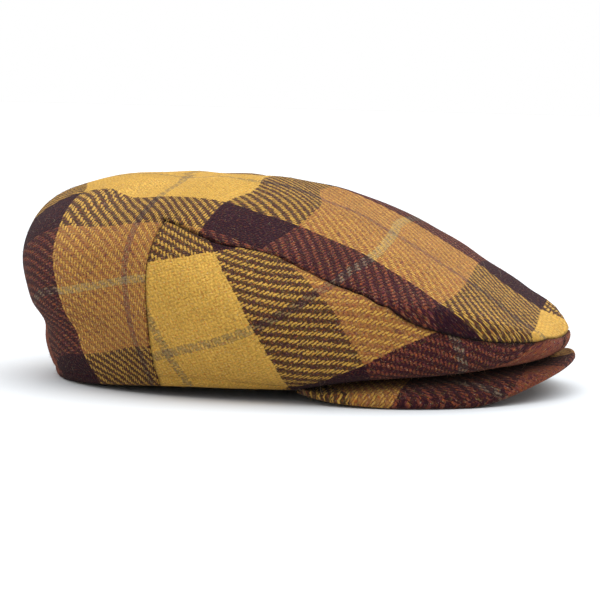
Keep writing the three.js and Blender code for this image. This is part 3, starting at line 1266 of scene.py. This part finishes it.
@dataclass
class Peak:
    """The peak in its cloth cover, which turns round a thick soft edge."""

    form: PeakForm = PeakForm()
    cloth: PeakCloth = PeakCloth()
    columns: int = 300
    rows: int = 64
    edge_rows: int = 11
    row_power: float = 1.4
    edge_most: float = 0.4
    # painted shade on the peak's top, deepest by the head under the crown, less towards the edge and the ends
    edge_painted_shade: float = 0.4
    edge_painted_shade_span: tuple[float, float] = (0.1, 0.7)
    end_painted_shade: float = 0.45
    end_painted_shade_span: tuple[float, float] = (0.5, 0.9)

    def build(self) -> bpy.types.Object:
        """Builds the peak.

        Returns:
            The peak's object.
        """
        limit = CROWN.peak_end_angle
        angles = np.linspace(-limit, limit, self.columns)
        radius = self.form.edge_thickness / 2
        width = self.form.outer_radius(angles) - CROWN.rim_radius(angles) + self.form.wall
        held = 1 - np.minimum(radius / width, self.edge_most)
        share = (1 - (1 - np.linspace(0, 1, self.rows)) ** self.row_power)[:, None] * held[None, :]
        upper, under = self.form.section(angles[None, :], share)
        edge = self.rounded_edge(upper[-1], under[-1], angles)
        profile = np.concatenate([upper, edge, under[::-1]])
        unrolled = self.unrolled(profile, angles)
        shares = np.concatenate([share, np.ones_like(edge[..., 0]), share[::-1]])
        yarns = self.cloth.yarns(angles[None, :] * np.ones_like(shares), shares, unrolled)
        count = len(profile)
        quads = grid_quads(count, self.columns)[:, ::-1]
        first = np.arange(self.columns - 1)
        last = (count - 1) * self.columns + first
        wall = np.stack([last + 1, last, first, first + 1], axis=-1)[:, ::-1]
        ring = np.arange(count) * self.columns
        ends = [ring[None, ::-1], (ring + self.columns - 1)[None, :]]
        # Painted shadow of the crown on the peak's top; the underside gets none.
        painted_shade = 1 - self.edge_painted_shade * smooth_step(*self.edge_painted_shade_span, shares)
        painted_shade *= 1 - self.end_painted_shade * smooth_step(*self.end_painted_shade_span, CROWN.peak_share(angles))
        painted_shade[self.rows + self.edge_rows // 2 :] = 0
        points = profile.reshape(-1, 3)
        return make_piece("peak_cloth", points, [quads, wall, *ends], yarns.reshape(-1, 2), painted_shade.ravel())

    def rounded_edge(self, upper: np.ndarray, under: np.ndarray, angles: np.ndarray) -> np.ndarray:
        """Turns the cover round the peak's edge in a half circle.

        Args:
            upper: Last points of the top.
            under: Last points of the underside.
            angles: Their angles in degrees.

        Returns:
            Points between, as (rows, columns, 3).
        """
        middle = (upper + under) / 2
        half = (upper - under) / 2
        turned = np.radians(angles)
        around = np.stack([-np.sin(turned), np.cos(turned), np.zeros_like(turned)], axis=-1)
        outward = np.cross(around, half)
        swing = np.linspace(0, np.pi, self.edge_rows + 2)[1:-1, None, None]
        return middle + half * np.cos(swing) + outward * np.sin(swing)

    def unrolled(self, profile: np.ndarray, angles: np.ndarray) -> np.ndarray:
        """Radius of each point with its section laid flat, mirrored in the line of the edge.

        Args:
            profile: Points of the closed section, as (rows, columns, 3).
            angles: Angles of the columns in degrees.

        Returns:
            Radii in millimetres, as (rows, columns).
        """
        steps = np.linalg.norm(np.diff(profile, axis=0), axis=-1)
        arcs = np.concatenate([np.zeros((1, len(angles))), np.cumsum(steps, axis=0)])
        middle = arcs[self.rows + self.edge_rows // 2]
        return CROWN.rim_radius(angles) - self.form.wall + middle - np.abs(arcs - middle)


@dataclass
class StrayFibres:
    """Loose wool fibres that stand off the cloth."""

    count: int = 4200
    shortest: float = 0.8
    longest: float = 3.6
    radius: float = 0.08
    bends: int = 4
    curl: float = 0.7
    least_lean: float = 0.25
    more_lean: float = 0.6
    droop: float = 0.3
    root_depth: float = 0.1
    lowest_root: float = 1.0
    lowest: float = 0.3
    thinning: float = 0.75
    centre_share: float = 0.3
    seed: int = 11

    def roots(self, pieces: list[bpy.types.Object]) -> tuple[np.ndarray, np.ndarray, np.ndarray]:
        """Picks where the fibres grow from, evenly over the outer cloth.

        Args:
            pieces: The pieces of cloth.

        Returns:
            Points in millimetres, unit vectors off the cloth, and yarn numbers.
        """
        centres, normals, areas, yarns = [], [], [], []
        for piece in pieces:
            mesh = piece.data
            count = len(mesh.polygons)
            centre, normal, area = np.empty(count * 3), np.empty(count * 3), np.empty(count)
            mesh.polygons.foreach_get("center", centre)
            mesh.polygons.foreach_get("normal", normal)
            mesh.polygons.foreach_get("area", area)
            stored = np.empty(len(mesh.vertices) * 3)
            mesh.attributes[CLOTH].data.foreach_get("vector", stored)
            first = np.array([polygon.vertices[0] for polygon in mesh.polygons])
            centres.append(centre.reshape(-1, 3) / MM)
            normals.append(normal.reshape(-1, 3))
            areas.append(area)
            yarns.append(stored.reshape(-1, 3)[first])
        centre, normal = np.concatenate(centres), np.concatenate(normals)
        middle = np.array([AXIS_X, 0, CROWN.height * self.centre_share])
        outward = np.einsum("ij,ij->i", normal, centre - middle) > 0
        weight = np.concatenate(areas) * outward * (centre[:, 2] > self.lowest_root)
        chosen = np.random.default_rng(self.seed).choice(len(centre), self.count, p=weight / weight.sum())
        return centre[chosen], normal[chosen], np.concatenate(yarns)[chosen]

    def build(self, pieces: list[bpy.types.Object]) -> bpy.types.Object:
        """Builds the fibres as thin three-sided tubes.

        Args:
            pieces: The pieces of cloth.

        Returns:
            The fibres' object.
        """
        start, off, yarns = self.roots(pieces)
        chance = np.random.default_rng(self.seed + 1)
        length = self.shortest + (self.longest - self.shortest) * chance.random((self.count, 1)) ** 2
        lie = chance.normal(size=(self.count, 3))
        lie -= off * np.einsum("ij,ij->i", lie, off)[:, None]
        lie /= np.linalg.norm(lie, axis=1, keepdims=True)
        lean = self.least_lean + self.more_lean * chance.random((self.count, 1))
        curl = self.curl * chance.normal(size=(self.count, 3))
        share = np.linspace(0, 1, self.bends + 1)[None, :, None]
        heading = off * lean + lie * (1 - lean)
        bend = curl - self.droop * off
        path = heading[:, None, :] * share + bend[:, None, :] * share**2 / 2
        path = start[:, None, :] - self.root_depth * off[:, None, :] + length[:, :, None] * path
        path[..., 2] = np.maximum(path[..., 2], self.lowest)
        beside = np.cross(off, lie)
        swing = np.radians([0, 120, 240])[None, None, :, None]
        around = np.cos(swing) * beside[:, None, None, :] + np.sin(swing) * off[:, None, None, :]
        taper = 1 - self.thinning * share[..., None]
        ring = path[:, :, None, :] + self.radius * taper * around
        points = ring.reshape(-1, 3) - np.array([AXIS_X, 0, 0])
        one = grid_quads(self.bends + 1, 3, closed=True)
        root = np.array([[2, 1, 0]])
        tip = np.array([[0, 1, 2]]) + 3 * self.bends
        step = 3 * (self.bends + 1)
        shift = np.arange(self.count)[:, None, None] * step
        sides = (one[None] + shift).reshape(-1, 4)
        caps = np.concatenate([(end[None] + shift).reshape(-1, 3) for end in (tip, root)])
        numbers = np.repeat(yarns[:, :2], step, axis=0)
        return make_piece("stray_fibres", points, [sides, caps], numbers, np.zeros(len(points)))


class Sketch:
    """Short words for laying out shader nodes."""

    def __init__(self, tree: bpy.types.NodeTree) -> None:
        """Starts on a node tree."""
        self.tree = tree

    def node(self, kind: str, **settings: object) -> bpy.types.Node:
        """Adds a node and sets its properties.

        Args:
            kind: The node's type.
            **settings: Its properties.

        Returns:
            The node.
        """
        made = self.tree.nodes.new(kind)
        for name, value in settings.items():
            setattr(made, name, value)
        return made

    def feed(self, socket: bpy.types.NodeSocket, value: object) -> None:
        """Links a socket to another, or sets its value.

        Args:
            socket: The socket.
            value: Socket, number or colour.
        """
        if isinstance(value, bpy.types.NodeSocket):
            self.tree.links.new(value, socket)
        else:
            socket.default_value = value

    def math(self, operation: str, first: object, second: object = 0.0) -> bpy.types.NodeSocket:
        """Adds a math node.

        Args:
            operation: Its operation.
            first: Socket or number.
            second: Socket or number.

        Returns:
            The result's socket.
        """
        made = self.node("ShaderNodeMath", operation=operation)
        for socket, value in zip(made.inputs, (first, second)):
            self.feed(socket, value)
        return made.outputs[0]

    def mix(self, factor: object, first: object, second: object, blend: str = "MIX") -> bpy.types.NodeSocket:
        """Adds a colour mix node.

        Args:
            factor: Socket or number.
            first: Socket or colour.
            second: Socket or colour.
            blend: How the colours mix.

        Returns:
            The result's socket.
        """
        made = self.node("ShaderNodeMix", data_type="RGBA", blend_type=blend)
        self.feed(made.inputs["Factor"], factor)
        colours = [socket for socket in made.inputs if socket.type == "RGBA"]
        self.feed(colours[0], first)
        self.feed(colours[1], second)
        return next(socket for socket in made.outputs if socket.type == "RGBA")

    def spread(
        self, value: object, low: float, high: float, to_low: float, to_high: float
    ) -> bpy.types.NodeSocket:
        """Maps a range of a value onto another, held at both ends.

        Args:
            value: Socket or number.
            low: Start of the range.
            high: End of the range.
            to_low: What the start becomes.
            to_high: What the end becomes.

        Returns:
            The result's socket.
        """
        made = self.node("ShaderNodeMapRange", clamp=True)
        for socket, given in zip(made.inputs, (value, low, high, to_low, to_high)):
            self.feed(socket, given)
        return made.outputs[0]

    def noise(
        self, vector: object, scale: float, detail: float = 2.0, roughness: float = 0.5
    ) -> bpy.types.NodeSocket:
        """Adds a noise texture.

        Args:
            vector: Where it is read.
            scale: How fine it is.
            detail: Its octaves.
            roughness: Strength of the finer octaves.

        Returns:
            The value's socket.
        """
        made = self.node("ShaderNodeTexNoise")
        self.feed(made.inputs["Vector"], vector)
        made.inputs["Scale"].default_value = scale
        made.inputs["Detail"].default_value = detail
        made.inputs["Roughness"].default_value = roughness
        return made.outputs["Fac"]

    def steps(self, value: object, stops: list[tuple[float, tuple]]) -> bpy.types.NodeSocket:
        """Adds a ramp of flat steps.

        Args:
            value: Socket with a number from 0 to 1.
            stops: Where each step starts, and its colour.

        Returns:
            The colour's socket.
        """
        made = self.node("ShaderNodeValToRGB")
        made.color_ramp.interpolation = "CONSTANT"
        elements = made.color_ramp.elements
        while len(elements) < len(stops):
            elements.new(1.0)
        for element, (place, shade) in zip(elements, stops):
            element.position = place
            element.color = shade
        self.feed(made.inputs["Fac"], value)
        return made.outputs["Color"]

    def brighten(self, shade: object, value: object) -> bpy.types.NodeSocket:
        """Multiplies a colour's brightness.

        Args:
            shade: Socket or colour.
            value: Socket or number.

        Returns:
            The colour's socket.
        """
        made = self.node("ShaderNodeHueSaturation")
        self.feed(made.inputs["Value"], value)
        self.feed(made.inputs["Color"], shade)
        return made.outputs["Color"]

    def choose(self, factor: object, first: object, second: object) -> bpy.types.NodeSocket:
        """Mixes two numbers.

        Args:
            factor: Socket or number.
            first: What is taken where the factor is 0.
            second: What is taken where the factor is 1.

        Returns:
            The result's socket.
        """
        made = self.node("ShaderNodeMix", data_type="FLOAT")
        numbers = [socket for socket in made.inputs if socket.type == "VALUE"]
        for socket, value in zip(numbers, (factor, first, second)):
            self.feed(socket, value)
        return made.outputs[0]

    def join(self, x: object, y: object) -> bpy.types.NodeSocket:
        """Joins two numbers to a vector, with 0 as its third.

        Args:
            x: Socket or number.
            y: Socket or number.

        Returns:
            The vector's socket.
        """
        made = self.node("ShaderNodeCombineXYZ")
        for socket, value in zip(made.inputs, (x, y)):
            self.feed(socket, value)
        return made.outputs[0]


Colour = tuple[float, float, float, float]
Span = tuple[float, float, float, float]
Grain = tuple[float, float, float]
WHITE: Colour = (1, 1, 1, 1)


def colour(red: int, green: int, blue: int) -> Colour:
    """Turns a colour as seen on a screen, from 0 to 255, into a shader's colour."""
    linear = [((c / 255 + 0.055) / 1.055) ** 2.4 if c > 10 else c / 255 / 12.92 for c in (red, green, blue)]
    return (linear[0], linear[1], linear[2], 1.0)


@dataclass(frozen=True)
class YarnColours:
    """Colours of the wool."""

    yellow: Colour = colour(193, 150, 67)
    yellow_line: Colour = colour(136, 114, 72)
    aubergine: Colour = colour(38, 13, 24)
    rust: Colour = colour(120, 62, 45)
    rust_line: Colour = colour(124, 106, 88)
    fleck_orange: Colour = colour(176, 92, 34)
    fleck_olive: Colour = colour(104, 100, 40)
    fleck_plum: Colour = colour(66, 28, 46)
    fleck_pale: Colour = colour(186, 164, 128)


@dataclass(frozen=True)
class WeaveLook:
    """How the woven yarns look.

    A span says from where to where a value runs, and what it becomes at both ends. A grain is the
    scale, detail and roughness of a noise.
    """

    twill: float = 4.0  # yarns in a repeat of the weave
    cross_over: float = 1.5  # the place in it below which the cross yarn lies on top
    cross_float: float = 1.0  # middle of a cross yarn's float
    long_float: float = 3.0  # middle of a lengthwise yarn's float
    float_arch: Span = (0.45, 1.15, 1.0, 0.0)
    yarn_brightness: Span = (0.0, 1.0, 0.9, 1.08)
    streak_squeeze: float = 0.7
    streak: Grain = (2.4, 3.0, 0.65)
    streak_shade: Span = (0.3, 0.7, 0.82, 1.16)
    streak_height: float = 0.7
    fray: float = 0.3
    yarn_edge: Span = (0.36, 0.58, 0.0, 0.9)
    float_end: Span = (-0.15, 0.35, 0.8, 0.0)
    veil: Grain = (0.8, 3.0, 0.6)
    veil_strength: Span = (0.4, 0.72, 0.08, 0.36)
    veil_off_dark: Span = (0.03, 0.14, 0.3, 1.0)
    veil_off_yellow: Span = (0.2, 0.4, 1.7, 1.0)
    yarn_body: Span = (0.1, 0.5, 1.0, 0.15)
    pit_shade: Span = (0.0, 0.7, 0.72, 1.04)
    wear: Grain = (0.05, 2.0, 0.5)
    wear_shade: Span = (0.3, 0.7, 0.93, 1.06)
    # painted shade: darker in seams and folds and on the peak under the crown
    painted_shade_span: Span = (0.0, 1.0, 1.0, 0.42)
    fleck_off_dark: Span = (0.015, 0.09, 0.22, 1.0)
    fleck_off_yellow: Span = (0.2, 0.4, 1.0, 0.25)
    fleck_detail: float = 2.0
    fleck_roughness: float = 0.6


@dataclass(frozen=True)
class WanderRow:
    """A noise that moves the yarns. Its strength is a number or a socket."""

    scale: float
    detail: float
    strength: object


@dataclass(frozen=True)
class FleckRow:
    """A stray colour: how fine its spots are, where its noise is read and how it sets in."""

    shade: Colour
    scale: float
    shift: float
    low: float
    high: float
    most: float
    off_yellow: bool = False


WOOL = YarnColours()
WEAVE = WeaveLook()
FLECKS = (
    FleckRow(WOOL.fleck_orange, 1.3, 0.0, 0.55, 0.68, 0.8),
    FleckRow(WOOL.fleck_olive, 1.0, 11.0, 0.57, 0.7, 0.7),
    FleckRow(WOOL.fleck_plum, 1.2, 23.0, 0.5, 0.64, 1.0, off_yellow=True),
    FleckRow(WOOL.fleck_pale, 1.7, 37.0, 0.6, 0.72, 0.7),
)


def stripe_group() -> bpy.types.NodeTree:
    """Builds the group that gives a yarn its colour from its number.

    Returns:
        The node group, with Yarn in and Colour out.
    """
    group = bpy.data.node_groups.new("stripe_order", "ShaderNodeTree")
    group.interface.new_socket("Yarn", in_out="INPUT", socket_type="NodeSocketFloat")
    group.interface.new_socket("Colour", in_out="OUTPUT", socket_type="NodeSocketColor")
    sketch = Sketch(group)
    inlet = sketch.node("NodeGroupInput")
    outlet = sketch.node("NodeGroupOutput")
    wrapped = sketch.math("FLOORED_MODULO", sketch.math("FLOOR", inlet.outputs["Yarn"]), SETT.repeat)
    share = sketch.math("DIVIDE", sketch.math("ADD", wrapped, 0.5), SETT.repeat)
    rust_start = SETT.yellow + SETT.aubergine
    half = SETT.overcheck / 2
    yellow_middle = SETT.yellow / 2
    rust_middle = rust_start + SETT.rust / 2
    stops = (
        (0, WOOL.yellow),
        (yellow_middle - half, WOOL.yellow_line),
        (yellow_middle + half, WOOL.yellow),
        (SETT.yellow, WOOL.aubergine),
        (rust_start, WOOL.rust),
        (rust_middle - half, WOOL.rust_line),
        (rust_middle + half, WOOL.rust),
        (rust_start + SETT.rust, WOOL.aubergine),
    )
    body = sketch.steps(share, [(yarn / SETT.repeat, shade) for yarn, shade in stops])
    sketch.feed(outlet.inputs["Colour"], body)
    return group


def wander(sketch: Sketch, yarns: bpy.types.NodeSocket, fuzz: bpy.types.NodeSocket) -> tuple[object, object]:
    """Lets the yarns wander, slowly along the cloth and finely from fibre to fibre.

    Args:
        sketch: Where the nodes go.
        yarns: Yarn numbers.
        fuzz: Strength of the fine part.

    Returns:
        The two yarn numbers after wandering.
    """
    parts = sketch.node("ShaderNodeSeparateXYZ")
    sketch.feed(parts.inputs[0], yarns)
    moved = [parts.outputs[0], parts.outputs[1]]
    for row in (WanderRow(0.06, 1.0, 1.2), WanderRow(0.42, 1.0, 0.8), WanderRow(1.7, 3.0, fuzz)):
        shake = sketch.node("ShaderNodeTexNoise")
        sketch.feed(shake.inputs["Vector"], yarns)
        shake.inputs["Scale"].default_value = row.scale
        shake.inputs["Detail"].default_value = row.detail
        shaken = sketch.node("ShaderNodeSeparateXYZ")
        sketch.feed(shaken.inputs[0], shake.outputs["Color"])
        for axis in range(2):
            offset = sketch.math("SUBTRACT", shaken.outputs[axis], 0.5)
            offset = sketch.math("MULTIPLY", offset, row.strength)
            moved[axis] = sketch.math("ADD", moved[axis], offset)
    return moved[0], moved[1]


def heather(sketch: Sketch, yarns: bpy.types.NodeSocket, base: object, fleck: object) -> bpy.types.NodeSocket:
    """Spins stray colours into the wool.

    Args:
        sketch: Where the nodes go.
        yarns: Yarn numbers.
        base: Colour of the yarns.
        fleck: Strength of the stray colours.

    Returns:
        The colour with its flecks.
    """
    warmth = sketch.node("ShaderNodeSeparateColor")
    sketch.feed(warmth.inputs[0], base)
    red = warmth.outputs[0]
    everywhere = sketch.math("MULTIPLY", sketch.spread(red, *WEAVE.fleck_off_dark), fleck)
    off_yellow = sketch.math("MULTIPLY", sketch.spread(red, *WEAVE.fleck_off_yellow), everywhere)
    for row in FLECKS:
        place = sketch.node("ShaderNodeVectorMath", operation="ADD")
        sketch.feed(place.inputs[0], yarns)
        place.inputs[1].default_value = (row.shift, -row.shift, row.shift)
        value = sketch.noise(place.outputs[0], row.scale, WEAVE.fleck_detail, WEAVE.fleck_roughness)
        amount = sketch.spread(value, row.low, row.high, 0.0, row.most)
        amount = sketch.math("MULTIPLY", amount, off_yellow if row.off_yellow else everywhere)
        base = sketch.mix(amount, base, row.shade)
    return base


def weave_group() -> bpy.types.NodeTree:
    """Builds the group that weaves the two families of yarn into a plaid twill, with painted shade.

    Returns:
        The node group, with Yarns, Fuzz and Fleck in and Colour and Height out.
    """
    group = bpy.data.node_groups.new("plaid_twill", "ShaderNodeTree")
    faces = group.interface
    faces.new_socket("Yarns", in_out="INPUT", socket_type="NodeSocketVector")
    faces.new_socket("Fuzz", in_out="INPUT", socket_type="NodeSocketFloat")
    faces.new_socket("Fleck", in_out="INPUT", socket_type="NodeSocketFloat")
    faces.new_socket("Colour", in_out="OUTPUT", socket_type="NodeSocketColor")
    faces.new_socket("Height", in_out="OUTPUT", socket_type="NodeSocketFloat")
    sketch = Sketch(group)
    inlet = sketch.node("NodeGroupInput")
    outlet = sketch.node("NodeGroupOutput")
    yarns = inlet.outputs["Yarns"]
    fleck = inlet.outputs["Fleck"]
    cross, lengthwise = wander(sketch, yarns, inlet.outputs["Fuzz"])
    cross_index = sketch.math("FLOOR", cross)
    long_index = sketch.math("FLOOR", lengthwise)
    cell = sketch.math("FLOORED_MODULO", sketch.math("ADD", cross_index, long_index), WEAVE.twill)
    cross_on_top = sketch.math("LESS_THAN", cell, WEAVE.cross_over)
    families = (
        (cross, cross_index, lengthwise, WEAVE.cross_float),
        (lengthwise, long_index, cross, WEAVE.long_float),
    )
    rounds = []
    arches = []
    shades = []
    for own, index, other, middle in families:
        across = sketch.math("ABSOLUTE", sketch.math("SUBTRACT", sketch.math("SUBTRACT", own, index), 0.5))
        rounds.append(across)
        along = sketch.math("FLOORED_MODULO", sketch.math("ADD", index, other), WEAVE.twill)
        reach = sketch.math("ABSOLUTE", sketch.math("SUBTRACT", along, middle))
        arches.append(sketch.spread(reach, *WEAVE.float_arch))
        stripe = sketch.node("ShaderNodeGroup", node_tree=bpy.data.node_groups["stripe_order"])
        sketch.feed(stripe.inputs["Yarn"], index)
        random = sketch.node("ShaderNodeTexWhiteNoise", noise_dimensions="1D")
        sketch.feed(random.inputs["W"], index)
        bright = sketch.spread(random.outputs["Value"], *WEAVE.yarn_brightness)
        shades.append(sketch.brighten(stripe.outputs["Colour"], bright))
    top = sketch.mix(cross_on_top, shades[1], shades[0])
    under = sketch.mix(cross_on_top, shades[0], shades[1])
    across = sketch.choose(cross_on_top, rounds[1], rounds[0])
    arch = sketch.choose(cross_on_top, arches[1], arches[0])
    squeezed = sketch.math("MULTIPLY", cross, WEAVE.streak_squeeze)
    streak = sketch.noise(sketch.join(squeezed, lengthwise), *WEAVE.streak)
    fray = sketch.math("MULTIPLY", streak, WEAVE.fray)
    edge = sketch.spread(sketch.math("ADD", across, fray), *WEAVE.yarn_edge)
    end = sketch.spread(sketch.math("SUBTRACT", arch, fray), *WEAVE.float_end)
    darker = sketch.mix(1.0, top, under, "DARKEN")
    woven = sketch.mix(sketch.math("MAXIMUM", edge, end), top, darker)
    light = sketch.node("ShaderNodeSeparateColor")
    sketch.feed(light.inputs[0], top)
    red = light.outputs[0]
    softer = sketch.spread(red, *WEAVE.veil_off_yellow)
    taking = sketch.math("MULTIPLY", sketch.spread(red, *WEAVE.veil_off_dark), softer)
    veil = sketch.noise(yarns, *WEAVE.veil)
    veiled = sketch.math("MULTIPLY", sketch.spread(veil, *WEAVE.veil_strength), taking)
    woven = sketch.mix(veiled, woven, under)
    woven = heather(sketch, yarns, woven, fleck)
    body = sketch.math("MULTIPLY", arch, sketch.spread(across, *WEAVE.yarn_body))
    pit = sketch.spread(body, *WEAVE.pit_shade)
    shade = sketch.spread(streak, *WEAVE.streak_shade)
    worn = sketch.spread(sketch.noise(yarns, *WEAVE.wear), *WEAVE.wear_shade)
    # The third number of the cloth attribute is painted shade, darkening seams, folds and the peak under the
    # crown.
    painted_shade_parts = sketch.node("ShaderNodeSeparateXYZ")
    sketch.feed(painted_shade_parts.inputs[0], yarns)
    painted_shade_value = sketch.spread(painted_shade_parts.outputs[2], *WEAVE.painted_shade_span)
    value = sketch.math("MULTIPLY", shade, pit)
    value = sketch.math("MULTIPLY", value, sketch.math("MULTIPLY", worn, painted_shade_value))
    sketch.feed(outlet.inputs["Colour"], sketch.brighten(woven, value))
    rough = sketch.math("MULTIPLY", sketch.math("SUBTRACT", streak, 0.5), WEAVE.streak_height)
    sketch.feed(outlet.inputs["Height"], sketch.math("ADD", body, rough))
    return group


@dataclass(frozen=True)
class TweedFinish:
    """Woven wool cloth, dressed on one kind of panel."""

    name: str
    fuzz: float = 1.3
    fleck: float = 0.72
    relief: float = 0.4
    relief_strength: float = 0.8
    roughness: float = 0.92
    gloss: float = 0.06
    sheen: float = 0.03
    sheen_roughness: float = 0.5
    sheen_tint: Colour = (1.0, 0.95, 0.85, 1.0)

    def material(self) -> bpy.types.Material:
        """Builds the material.

        Returns:
            The material.
        """
        made = bpy.data.materials.new(self.name)
        made.use_nodes = True
        made.node_tree.nodes.clear()
        sketch = Sketch(made.node_tree)
        surface = sketch.node("ShaderNodeBsdfPrincipled")
        outlet = sketch.node("ShaderNodeOutputMaterial")
        sketch.feed(outlet.inputs["Surface"], surface.outputs[0])
        cloth = sketch.node("ShaderNodeAttribute", attribute_name=CLOTH)
        weave = sketch.node("ShaderNodeGroup", node_tree=bpy.data.node_groups["plaid_twill"])
        sketch.feed(weave.inputs["Yarns"], cloth.outputs["Vector"])
        weave.inputs["Fuzz"].default_value = self.fuzz
        weave.inputs["Fleck"].default_value = self.fleck
        bump = sketch.node("ShaderNodeBump")
        bump.inputs["Strength"].default_value = self.relief_strength
        bump.inputs["Distance"].default_value = self.relief * MM
        sketch.feed(bump.inputs["Height"], weave.outputs["Height"])
        sketch.feed(surface.inputs["Base Color"], weave.outputs["Colour"])
        sketch.feed(surface.inputs["Normal"], bump.outputs["Normal"])
        surface.inputs["Roughness"].default_value = self.roughness
        surface.inputs["Specular IOR Level"].default_value = self.gloss
        surface.inputs["Sheen Weight"].default_value = self.sheen
        surface.inputs["Sheen Roughness"].default_value = self.sheen_roughness
        surface.inputs["Sheen Tint"].default_value = self.sheen_tint
        return made


@dataclass(frozen=True)
class StrayWoolFinish:
    """Loose fibres in the colours of the yarns that they come from."""

    name: str
    paleness: float = 0.35
    patches: float = 0.9
    roughness: float = 0.8

    def material(self) -> bpy.types.Material:
        """Builds the material.

        Returns:
            The material.
        """
        made = bpy.data.materials.new(self.name)
        made.use_nodes = True
        sketch = Sketch(made.node_tree)
        surface = made.node_tree.nodes["Principled BSDF"]
        cloth = sketch.node("ShaderNodeAttribute", attribute_name=CLOTH)
        parts = sketch.node("ShaderNodeSeparateXYZ")
        sketch.feed(parts.inputs[0], cloth.outputs["Vector"])
        stripe = sketch.node("ShaderNodeGroup", node_tree=bpy.data.node_groups["stripe_order"])
        sketch.feed(stripe.inputs["Yarn"], parts.outputs[0])
        patches = sketch.noise(cloth.outputs["Vector"], self.patches)
        paler = sketch.math("MULTIPLY", patches, 2 * self.paleness)
        shade = sketch.mix(paler, stripe.outputs["Colour"], WOOL.fleck_pale)
        sketch.feed(surface.inputs["Base Color"], shade)
        surface.inputs["Roughness"].default_value = self.roughness
        return made


@dataclass(frozen=True)
class PlainFinish:
    """A plain surface of one colour."""

    name: str
    base: Colour
    roughness: float

    def material(self) -> bpy.types.Material:
        """Builds the material.

        Returns:
            The material.
        """
        made = bpy.data.materials.new(self.name)
        made.use_nodes = True
        surface = made.node_tree.nodes["Principled BSDF"]
        surface.inputs["Base Color"].default_value = self.base
        surface.inputs["Roughness"].default_value = self.roughness
        return made


@dataclass(frozen=True)
class Studio:
    """The pale floor, the soft light and the camera."""

    azimuth: float = 19.5
    elevation: float = 7.3
    roll: float = 0.9
    distance: float = 1300.0
    aim_right: float = 28.3
    aim_up: float = 37.7
    lens: float = 159.9
    nearest_seen: float = 0.05
    farthest_seen: float = 50
    floor_size: float = 9000.0
    floor_shade: float = 0.58
    floor_roughness: float = 0.95
    surroundings: float = 1.0
    lamp_power: float = 3.7
    lamp_angle: float = 90.0
    lamp_from: tuple[float, float, float] = (0.12, 0.1, 1.0)
    lamp_colour: tuple[float, float, float] = (0.96, 1.03, 1.1)

    def directions(self) -> tuple[Vector, Vector, Vector]:
        """Finds the directions of the picture.

        Returns:
            Unit vectors to the camera, to the picture's right and up the picture.
        """
        turn = math.radians(self.azimuth)
        tilt = math.radians(self.elevation)
        back = Vector((math.sin(turn) * math.cos(tilt), -math.cos(turn) * math.cos(tilt), math.sin(tilt)))
        right = Vector((math.cos(turn), math.sin(turn), 0))
        up = Vector((-math.sin(turn) * math.sin(tilt), math.cos(turn) * math.sin(tilt), math.cos(tilt)))
        return back, right, up

    def place_camera(self) -> None:
        """Puts the camera where the photograph was taken from."""
        back, right, up = self.directions()
        foot = Vector((AXIS_X, 0, 0))
        place = foot + back * self.distance
        aim = foot + right * self.aim_right + up * self.aim_up
        camera = bpy.data.objects.new("camera", bpy.data.cameras.new("camera"))
        camera.data.lens = self.lens
        camera.data.clip_start = self.nearest_seen
        camera.data.clip_end = self.farthest_seen
        turned = (aim - place).to_track_quat("-Z", "Y").to_matrix().to_4x4()
        tilted = turned @ Matrix.Rotation(math.radians(self.roll), 4, "Z")
        camera.matrix_world = Matrix.Translation(place * MM) @ tilted
        bpy.context.scene.collection.objects.link(camera)
        bpy.context.scene.camera = camera

    def lay_floor(self) -> None:
        """Lays a pale floor under the cap."""
        half = self.floor_size * MM / 2
        mesh = bpy.data.meshes.new("floor")
        corners = [(-half, -half, 0), (half, -half, 0), (half, half, 0), (-half, half, 0)]
        mesh.from_pydata(corners, [], [(0, 1, 2, 3)])
        shade = (self.floor_shade,) * 3 + (1,)
        mesh.materials.append(PlainFinish("pale_floor", shade, self.floor_roughness).material())
        floor = bpy.data.objects.new("floor", mesh)
        bpy.context.scene.collection.objects.link(floor)

    def light(self) -> None:
        """Sets the white surroundings, and a broad soft lamp above and before the cap."""
        world = bpy.data.worlds.new("surroundings")
        world.use_nodes = True
        background = world.node_tree.nodes["Background"]
        background.inputs["Color"].default_value = WHITE
        background.inputs["Strength"].default_value = self.surroundings
        bpy.context.scene.world = world
        bpy.context.scene.view_settings.view_transform = "Standard"
        data = bpy.data.lights.new("lamp_above", "SUN")
        data.angle = math.radians(self.lamp_angle)
        data.energy = self.lamp_power
        data.color = self.lamp_colour
        lamp = bpy.data.objects.new("lamp_above", data)
        lamp.rotation_mode = "QUATERNION"
        lamp.rotation_quaternion = Vector(self.lamp_from).to_track_quat("Z", "Y")
        bpy.context.scene.collection.objects.link(lamp)

    def build(self) -> None:
        """Sets up the whole studio."""
        self.place_camera()
        self.lay_floor()
        self.light()


AXIS_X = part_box("top_panel")[0].x / MM + CROWN.back_reach


def dress(piece: bpy.types.Object, finish: bpy.types.Material, *nodes: str) -> bpy.types.Object:
    """Gives a piece its finish and its place in the frame.

    Args:
        piece: The piece.
        finish: Its material.
        *nodes: The solids that it stands for.

    Returns:
        The piece.
    """
    piece.data.materials.append(finish)
    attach(piece, "root")
    if nodes:
        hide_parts(*nodes)
    LOG.info("%s: %d faces", piece.name, len(piece.data.polygons))
    return piece


def main() -> None:
    """Builds and dresses the cap, and reports each piece."""
    logging.basicConfig(level=logging.INFO, format="%(name)s: %(message)s")
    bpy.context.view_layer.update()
    stripe_group()
    weave_group()
    tweed = TweedFinish("plaid_tweed").material()
    pieces = [
        dress(TopPanel().build(), tweed, "top_panel"),
        dress(SidePanel(Side.RIGHT).build(), tweed, "side_panel_right"),
        dress(SidePanel(Side.LEFT).build(), tweed, "side_panel_left"),
        dress(Peak().build(), tweed, "peak"),
    ]
    dress(StrayFibres().build(pieces), StrayWoolFinish("stray_wool").material())
    Studio().build()
    bpy.context.view_layer.update()


if __name__ == "__main__":
    main()
